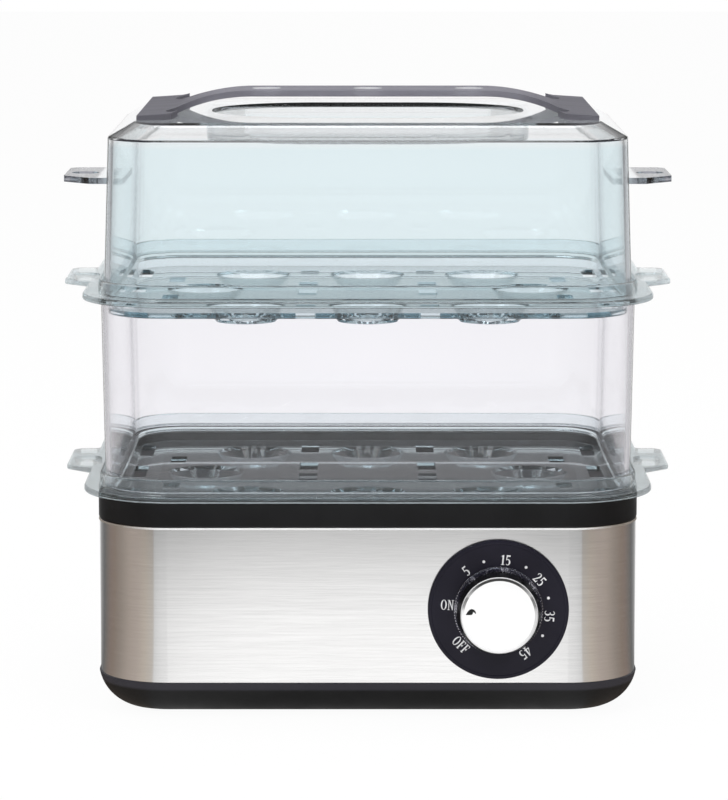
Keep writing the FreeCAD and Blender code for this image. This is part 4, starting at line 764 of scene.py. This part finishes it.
def bow(x, y, wide, high, start, end, steps=14):
    # points round part of an oval
    angles = [math.radians(start + (end - start) * part / steps) for part in range(steps + 1)]
    return [(x + wide * math.cos(angle), y + high * math.sin(angle)) for angle in angles]


def ring(x, y, wide, high):
    return bow(x, y, wide, high, 0, 360 - 360 / ringPoints, ringPoints - 1)


# Narrow roman letters, one unit high: width, then outlines
letters = {
    "1": (0.36, [[(0.02, 0), (0.36, 0), (0.36, 0.05), (0.27, 0.06), (0.27, 1), (0.22, 1), (0.03, 0.87),
                  (0.03, 0.81), (0.12, 0.84), (0.12, 0.06), (0.02, 0.05)]]),
    "2": (0.49, [bow(0.24, 0.74, 0.23, 0.26, 172, -28)
                 + [(0.16, 0.13), (0.38, 0.13), (0.44, 0.27), (0.49, 0.27), (0.46, 0), (0.01, 0), (0.01, 0.05)]
                 + bow(0.21, 0.74, 0.12, 0.2, -32, 160) + [(0.07, 0.7)]]),
    "3": (0.48, [bow(0.21, 0.755, 0.22, 0.245, 165, -48) + [(0.29, 0.545)]
                 + bow(0.21, 0.29, 0.265, 0.29, 58, -150) + bow(0.18, 0.29, 0.14, 0.235, -140, 75)
                 + [(0.12, 0.51), (0.12, 0.565)] + bow(0.185, 0.755, 0.12, 0.19, -75, 150)]),
    "4": (0.52, [[(0.18, 0), (0.50, 0), (0.50, 0.05), (0.42, 0.06), (0.42, 0.23), (0.52, 0.23), (0.52, 0.32),
                  (0.42, 0.32), (0.42, 1), (0.34, 1), (0, 0.32), (0, 0.23), (0.28, 0.23), (0.28, 0.06),
                  (0.18, 0.05)], [(0.28, 0.32), (0.07, 0.32), (0.28, 0.78)]]),
    "5": (0.48, [[(0.08, 1), (0.47, 1), (0.44, 0.86), (0.16, 0.86), (0.14, 0.61)]
                 + bow(0.23, 0.31, 0.25, 0.31, 108, -142) + bow(0.21, 0.31, 0.125, 0.25, -130, 126)
                 + [(0.055, 0.49)]]),
    "O": (0.58, [ring(0.29, 0.5, 0.29, 0.51), ring(0.29, 0.5, 0.16, 0.455)]),
    "N": (0.60, [[(0, 1), (0.2, 1), (0.455, 0.3), (0.455, 0.95), (0.38, 0.95), (0.38, 1), (0.6, 1),
                  (0.6, 0.95), (0.525, 0.95), (0.525, 0), (0.45, 0), (0.15, 0.82), (0.15, 0.05),
                  (0.22, 0.05), (0.22, 0), (0, 0), (0, 0.05), (0.075, 0.05), (0.075, 0.95), (0, 0.95)]]),
    "F": (0.47, [[(0, 0), (0.28, 0), (0.28, 0.05), (0.21, 0.06), (0.21, 0.46), (0.33, 0.46), (0.35, 0.38),
                  (0.39, 0.38), (0.39, 0.64), (0.35, 0.64), (0.33, 0.54), (0.21, 0.54), (0.21, 0.93),
                  (0.38, 0.93), (0.43, 0.76), (0.47, 0.76), (0.46, 1), (0, 1), (0, 0.95), (0.07, 0.94),
                  (0.07, 0.06), (0, 0.05)]]),
}


def makeWord(text):
    # every letter of a word as one flat shape about its middle
    width = sum(letters[letter][0] for letter in text) + dial["gap"] * (len(text) - 1)
    left = -width / 2
    outlines = []
    for letter in text:
        wide, shapes = letters[letter]
        for shape in shapes:
            outlines.append([((x + left) * dial["height"], (y - 0.5) * dial["height"]) for x, y in shape])
        left += wide + dial["gap"]
    return flatShape("word", outlines, dial["paint"])


def standOnDial(shape, place, turn=0):
    angle = math.radians(place)
    stand(shape, dialX + dial["radius"] * math.sin(angle), dialLow.y,
          dialZ + dial["radius"] * math.cos(angle), turn)
    return shape


def makeDialPrint():
    made = [standOnDial(makeWord(text), place, turn) for text, place, turn in dial["marks"]]
    for place in dial["dots"]:
        dot = flatShape("dot", [ring(0, 0, dial["dot"], dial["dot"])], dial["paint"])
        made.append(standOnDial(dot, place))
    deselectAll()
    for piece in made:
        piece.select_set(True)
    bpy.context.view_layer.objects.active = made[0]
    bpy.ops.object.join()
    piece = settle(bpy.context.object, "dialPrint")
    dress(piece, paintWhite)
    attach(piece, "base")


def makeDialBorder():
    # low raised border round the dial plate
    deselectAll()
    radius = border["radius"]
    bpy.ops.mesh.primitive_circle_add(vertices=border["points"], radius=radius, rotation=(quarterTurn, 0, 0),
                                      location=(dialX, dialLow.y + border["deep"], dialZ))
    piece = settle(bpy.context.object, "dialBorder")
    editParts(piece, "EDGE", lambda edge: True)
    for grow, rise in border["rings"]:
        factor = (radius + grow) / radius
        bpy.ops.mesh.extrude_region_move(TRANSFORM_OT_translate={"value": (0, -rise * border["height"], 0)})
        bpy.ops.transform.resize(value=(factor, 1, factor), center_override=(dialX, 0, dialZ))
        radius += grow
    bpy.ops.mesh.select_all(action="SELECT")
    bpy.ops.mesh.normals_make_consistent(inside=False)
    bpy.ops.object.mode_set(mode="OBJECT")
    smooth(piece, border["smooth"])
    dress(piece, finishes["dialBlack"])
    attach(piece, "base")


makeDialPrint()
makeDialBorder()
print("dial made")

bandLow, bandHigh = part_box("steel_band")
band = {
    "corner": 26 * mm,
    "drop": 0.02 * mm,           # the hem's top, below the band's
    "proud": 0.4 * mm,
    "height": 0.6 * mm,
    "lean": 0.38 * mm,           # how far its top edge leans back
    "thick": 0.3 * mm,
    "roundShare": 0.9,
    "cornerSteps": 20,
    "roundSteps": 2,
    "smooth": 40,
    "hemCornerShadeFrom": (76 * mm, 90 * mm),      # painted shade: the hem is painted darker round the corners, where it catches less light
    "hemCornerShade": (0.30, 0.26, 0.22),
}


def makeHem():
    # thin turned edge that wraps the top of the steel band
    hemSteel = castMetal("hemSteel", (0.98, 0.975, 0.97), 0.5, 1.0, 0.002, 0.97, 0.3)
    wide = sizes(hemSteel, placeOn(hemSteel)[0])[0]
    # painted shade round the hem's corners
    overPaint(hemSteel, step(hemSteel, wide, *band["hemCornerShadeFrom"], spread["wide"]), band["hemCornerShade"])
    top, height, proud = bandHigh.z - band["drop"], band["height"], band["proud"]
    middle = ((bandLow.x + bandHigh.x) / 2, (bandLow.y + bandHigh.y) / 2, top - height / 2)
    size = (bandHigh.x - bandLow.x + 2 * proud, bandHigh.y - bandLow.y + 2 * proud, height)
    deselectAll()
    bpy.ops.mesh.primitive_cube_add(size=1, location=middle, scale=size)
    piece = settle(bpy.context.object, "bandHem")
    editParts(piece, "EDGE", lambda edge: abs(edge.verts[0].co.z - edge.verts[1].co.z) > height / 2)
    bpy.ops.mesh.bevel(offset=band["corner"] + proud, offset_type="OFFSET", segments=band["cornerSteps"],
                       affect="EDGES")
    bpy.ops.object.mode_set(mode="OBJECT")
    editParts(piece, "FACE", lambda face: abs(face.normal.z) > 0.9)
    bpy.ops.mesh.delete(type="ONLY_FACE")
    bpy.ops.object.mode_set(mode="OBJECT")
    editParts(piece, "VERT", lambda vert: vert.co.z > top - height / 2)
    bpy.ops.transform.resize(value=(1 - band["lean"] / bandHigh.x, 1 - band["lean"] / bandHigh.y, 1))
    bpy.ops.object.mode_set(mode="OBJECT")
    applyModifier(piece, "SOLIDIFY", thickness=band["thick"], offset=-1)
    applyModifier(piece, "BEVEL", width=proud * band["roundShare"], segments=band["roundSteps"],
                  limit_method="ANGLE")
    smooth(piece, band["smooth"])
    dress(piece, hemSteel)
    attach(piece, "base")


makeHem()
print("band hem made")

stage = {
    "floorSize": 12.0,
    "paper": (0.86, 0.86, 0.86),
    "white": 0.955,              # how much of the floor's brightness is its own
    # what metal sees of the table round the base's corners, from the front (0) to the back (1)
    "card": [(0.0, 1.0), (0.094, 0.84), (0.128, 0.75),
             (0.132, (0.61, 0.57, 0.53)), (0.172, (0.58, 0.53, 0.475)),
             (0.208, (0.56, 0.495, 0.43)), (0.28, (0.475, 0.41, 0.365)), (0.357, (0.425, 0.365, 0.32)),
             (0.453, (0.315, 0.27, 0.235)), (0.54, (0.26, 0.21, 0.175)), (0.60, (0.245, 0.195, 0.17)),
             (0.66, (0.20, 0.18, 0.165)), (0.73, 0.16), (0.80, 0.3),
             (0.86, 0.5), (0.875, 0.75), (1.0, 1.0)],
    # over the distance in front, to the sides and from the middle, in metres
    "far": [(0.0, 1.0), (0.28, 1.0), (0.35, 0.90), (0.42, 0.68), (0.48, 0.42), (1.0, 0.3)],
    "aside": [(0.0, 1.0), (0.03, 1.0), (0.05, 0.98), (0.07, 0.92), (0.085, 0.84)],
    # painted shadow of the base on the table that metal mirrors
    "near": [(0.09, 0.35), (0.13, 1.0)],
    # what clear plastic sees of the table, from straight behind it to the sides and the front
    "through": [(0.0, 1.0), (0.42, 1.0), (0.7, 0.6), (1.0, 0.45)],
    "frontShare": 0.5,
}


def metalTone(material, x, y):
    # the table as metal mirrors it: darker round the corners and far off, with a painted shadow close by the
    # base
    aside, front = addMath(material, "ABSOLUTE", x), addMath(material, "MULTIPLY", y, -1)
    turn = addMath(material, "ARCTAN2", addMath(material, "SUBTRACT", aside, bandHigh.x - band["corner"]),
                   addMath(material, "SUBTRACT", front, bandHigh.y - band["corner"]))
    card = addRamp(material, addMath(material, "DIVIDE", turn, math.pi), stage["card"])
    level = addMath(material, "MULTIPLY", addRamp(material, front, stage["far"]),
                    addRamp(material, aside, stage["aside"]))
    level = addMath(material, "MULTIPLY", level, addRamp(material, distance(material, x, y), stage["near"]))
    return multiply(material, card, level)


def plasticTone(material, x, y):
    aside = addMath(material, "ABSOLUTE", x)
    around = addMath(material, "SUBTRACT", aside, addMath(material, "MULTIPLY", y, stage["frontShare"]))
    return addRamp(material, around, stage["through"])


def makeFloor():
    deselectAll()
    bpy.ops.mesh.primitive_plane_add(size=stage["floorSize"])
    floor = bpy.context.object
    floor.name = "floor"
    material = bpy.data.materials.new("floorWhite")
    material.use_nodes = True
    tree = material.node_tree
    tree.nodes.remove(tree.nodes["Principled BSDF"])
    paper = addNode(material, "ShaderNodeBsdfDiffuse", Color=(*stage["paper"], 1))
    glow = addNode(material, "ShaderNodeEmission", Strength=1.0)
    mix = addNode(material, "ShaderNodeMixShader")
    path = addNode(material, "ShaderNodeLightPath")
    kinds = ("Is Camera Ray", "Is Transmission Ray", "Is Glossy Ray")
    camera, through, gloss = [path.outputs[kind] for kind in kinds]
    x, y = placeOn(material)[:2]
    tone = choose(material, gloss, (1, 1, 1), metalTone(material, x, y))
    tone = choose(material, through, tone, plasticTone(material, x, y))
    tone = choose(material, camera, tone, (1, 1, 1))
    link(material, tone, glow.inputs["Color"])
    seen = addMath(material, "MULTIPLY", addMath(material, "MAXIMUM", camera, through), stage["white"])
    link(material, addMath(material, "MAXIMUM", seen, gloss), mix.inputs["Fac"])
    link(material, paper.outputs["BSDF"], mix.inputs[1])
    link(material, glow.outputs["Emission"], mix.inputs[2])
    link(material, mix.outputs["Shader"], tree.nodes["Material Output"].inputs["Surface"])
    floor.data.materials.append(material)


room = {
    "diffuse": (0.6, 0.6, 0.6),
    # by height over the horizon: what polished parts see in front, what clear plastic sees there,
    # and what both see behind
    "front": [(0.0, 0.55), (0.06, 0.3), (0.12, 0.06), (1.0, 0.02)],
    "through": [(0.0, 0.7), (1.0, 0.6)],
    "behind": [(0.0, 1.0), (0.1, 1.0), (0.13, 0.2), (0.2, 0.12), (0.3, 0.5), (1.0, 0.7)],
    "turn": (-0.2, 0.45),        # from front to behind, along the depth of the direction
}


def makeWorld():
    world = bpy.data.worlds.new("studio")
    bpy.context.scene.world = world
    world.use_nodes = True
    back = world.node_tree.nodes["Background"]
    path = addNode(world, "ShaderNodeLightPath")
    place = addNode(world, "ShaderNodeTexCoord")
    split = addNode(world, "ShaderNodeSeparateXYZ")
    link(world, place.outputs["Generated"], split.inputs["Vector"])
    parts = [room["front"], room["through"], room["behind"]]
    front, through, behind = [addRamp(world, split.outputs["Z"], stops) for stops in parts]
    front = choose(world, path.outputs["Is Transmission Ray"], front, through)
    side = addNode(world, "ShaderNodeMapRange")
    side.inputs["From Min"].default_value, side.inputs["From Max"].default_value = room["turn"]
    link(world, split.outputs["Y"], side.inputs["Value"])
    around = choose(world, side.outputs["Result"], front, behind)
    bent = addMath(world, "MAXIMUM", path.outputs["Is Glossy Ray"], path.outputs["Is Transmission Ray"])
    tone = choose(world, bent, room["diffuse"], around)
    link(world, choose(world, path.outputs["Is Camera Ray"], tone, (1, 1, 1)), back.inputs["Color"])
    back.inputs["Strength"].default_value = 1.0


softboxes = {
    "keyLight": {"place": (-0.9, -1.2, 1.5), "size": (1.0, 1.0), "watts": 16},
    "fillLight": {"place": (1.1, -1.0, 1.2), "size": (1.0, 1.0), "watts": 9},
    "topLight": {"place": (0.0, 0.3, 1.7), "size": (1.2, 0.8), "watts": 10},
}
lampAim = Vector((0, 0, 0.1))


def addSoftbox(name, place, size, watts):
    data = bpy.data.lights.new(name, "AREA")
    data.shape = "RECTANGLE"
    data.size, data.size_y = size
    data.energy = watts
    lamp = bpy.data.objects.new(name, data)
    bpy.context.scene.collection.objects.link(lamp)
    lamp.location = place
    lamp.rotation_euler = (lampAim - Vector(place)).to_track_quat("-Z", "Y").to_euler()
    lamp.visible_glossy = False


viewer = {
    "place": (-1.4 * mm, -1434 * mm, 314.9 * mm),
    "down": 8.3,                 # degrees
    "lens": 169.9,
    "sensor": 36,
}


def makeCamera():
    data = bpy.data.cameras.new("camera")
    data.lens = viewer["lens"]
    data.sensor_width = viewer["sensor"]
    camera = bpy.data.objects.new("camera", data)
    bpy.context.scene.collection.objects.link(camera)
    camera.location = viewer["place"]
    camera.rotation_euler = (math.radians(90 - viewer["down"]), 0, 0)
    bpy.context.scene.camera = camera


# Light turns many times inside clear plastic
bounces = {"max_bounces": 28, "glossy_bounces": 16, "transmission_bounces": 20}

makeFloor()
makeWorld()
for name, softbox in softboxes.items():
    addSoftbox(name, **softbox)
makeCamera()
bpy.context.scene.view_settings.view_transform = "Standard"
for key, count in bounces.items():
    setattr(bpy.context.scene.cycles, key, count)
print("stage, lights and camera made")
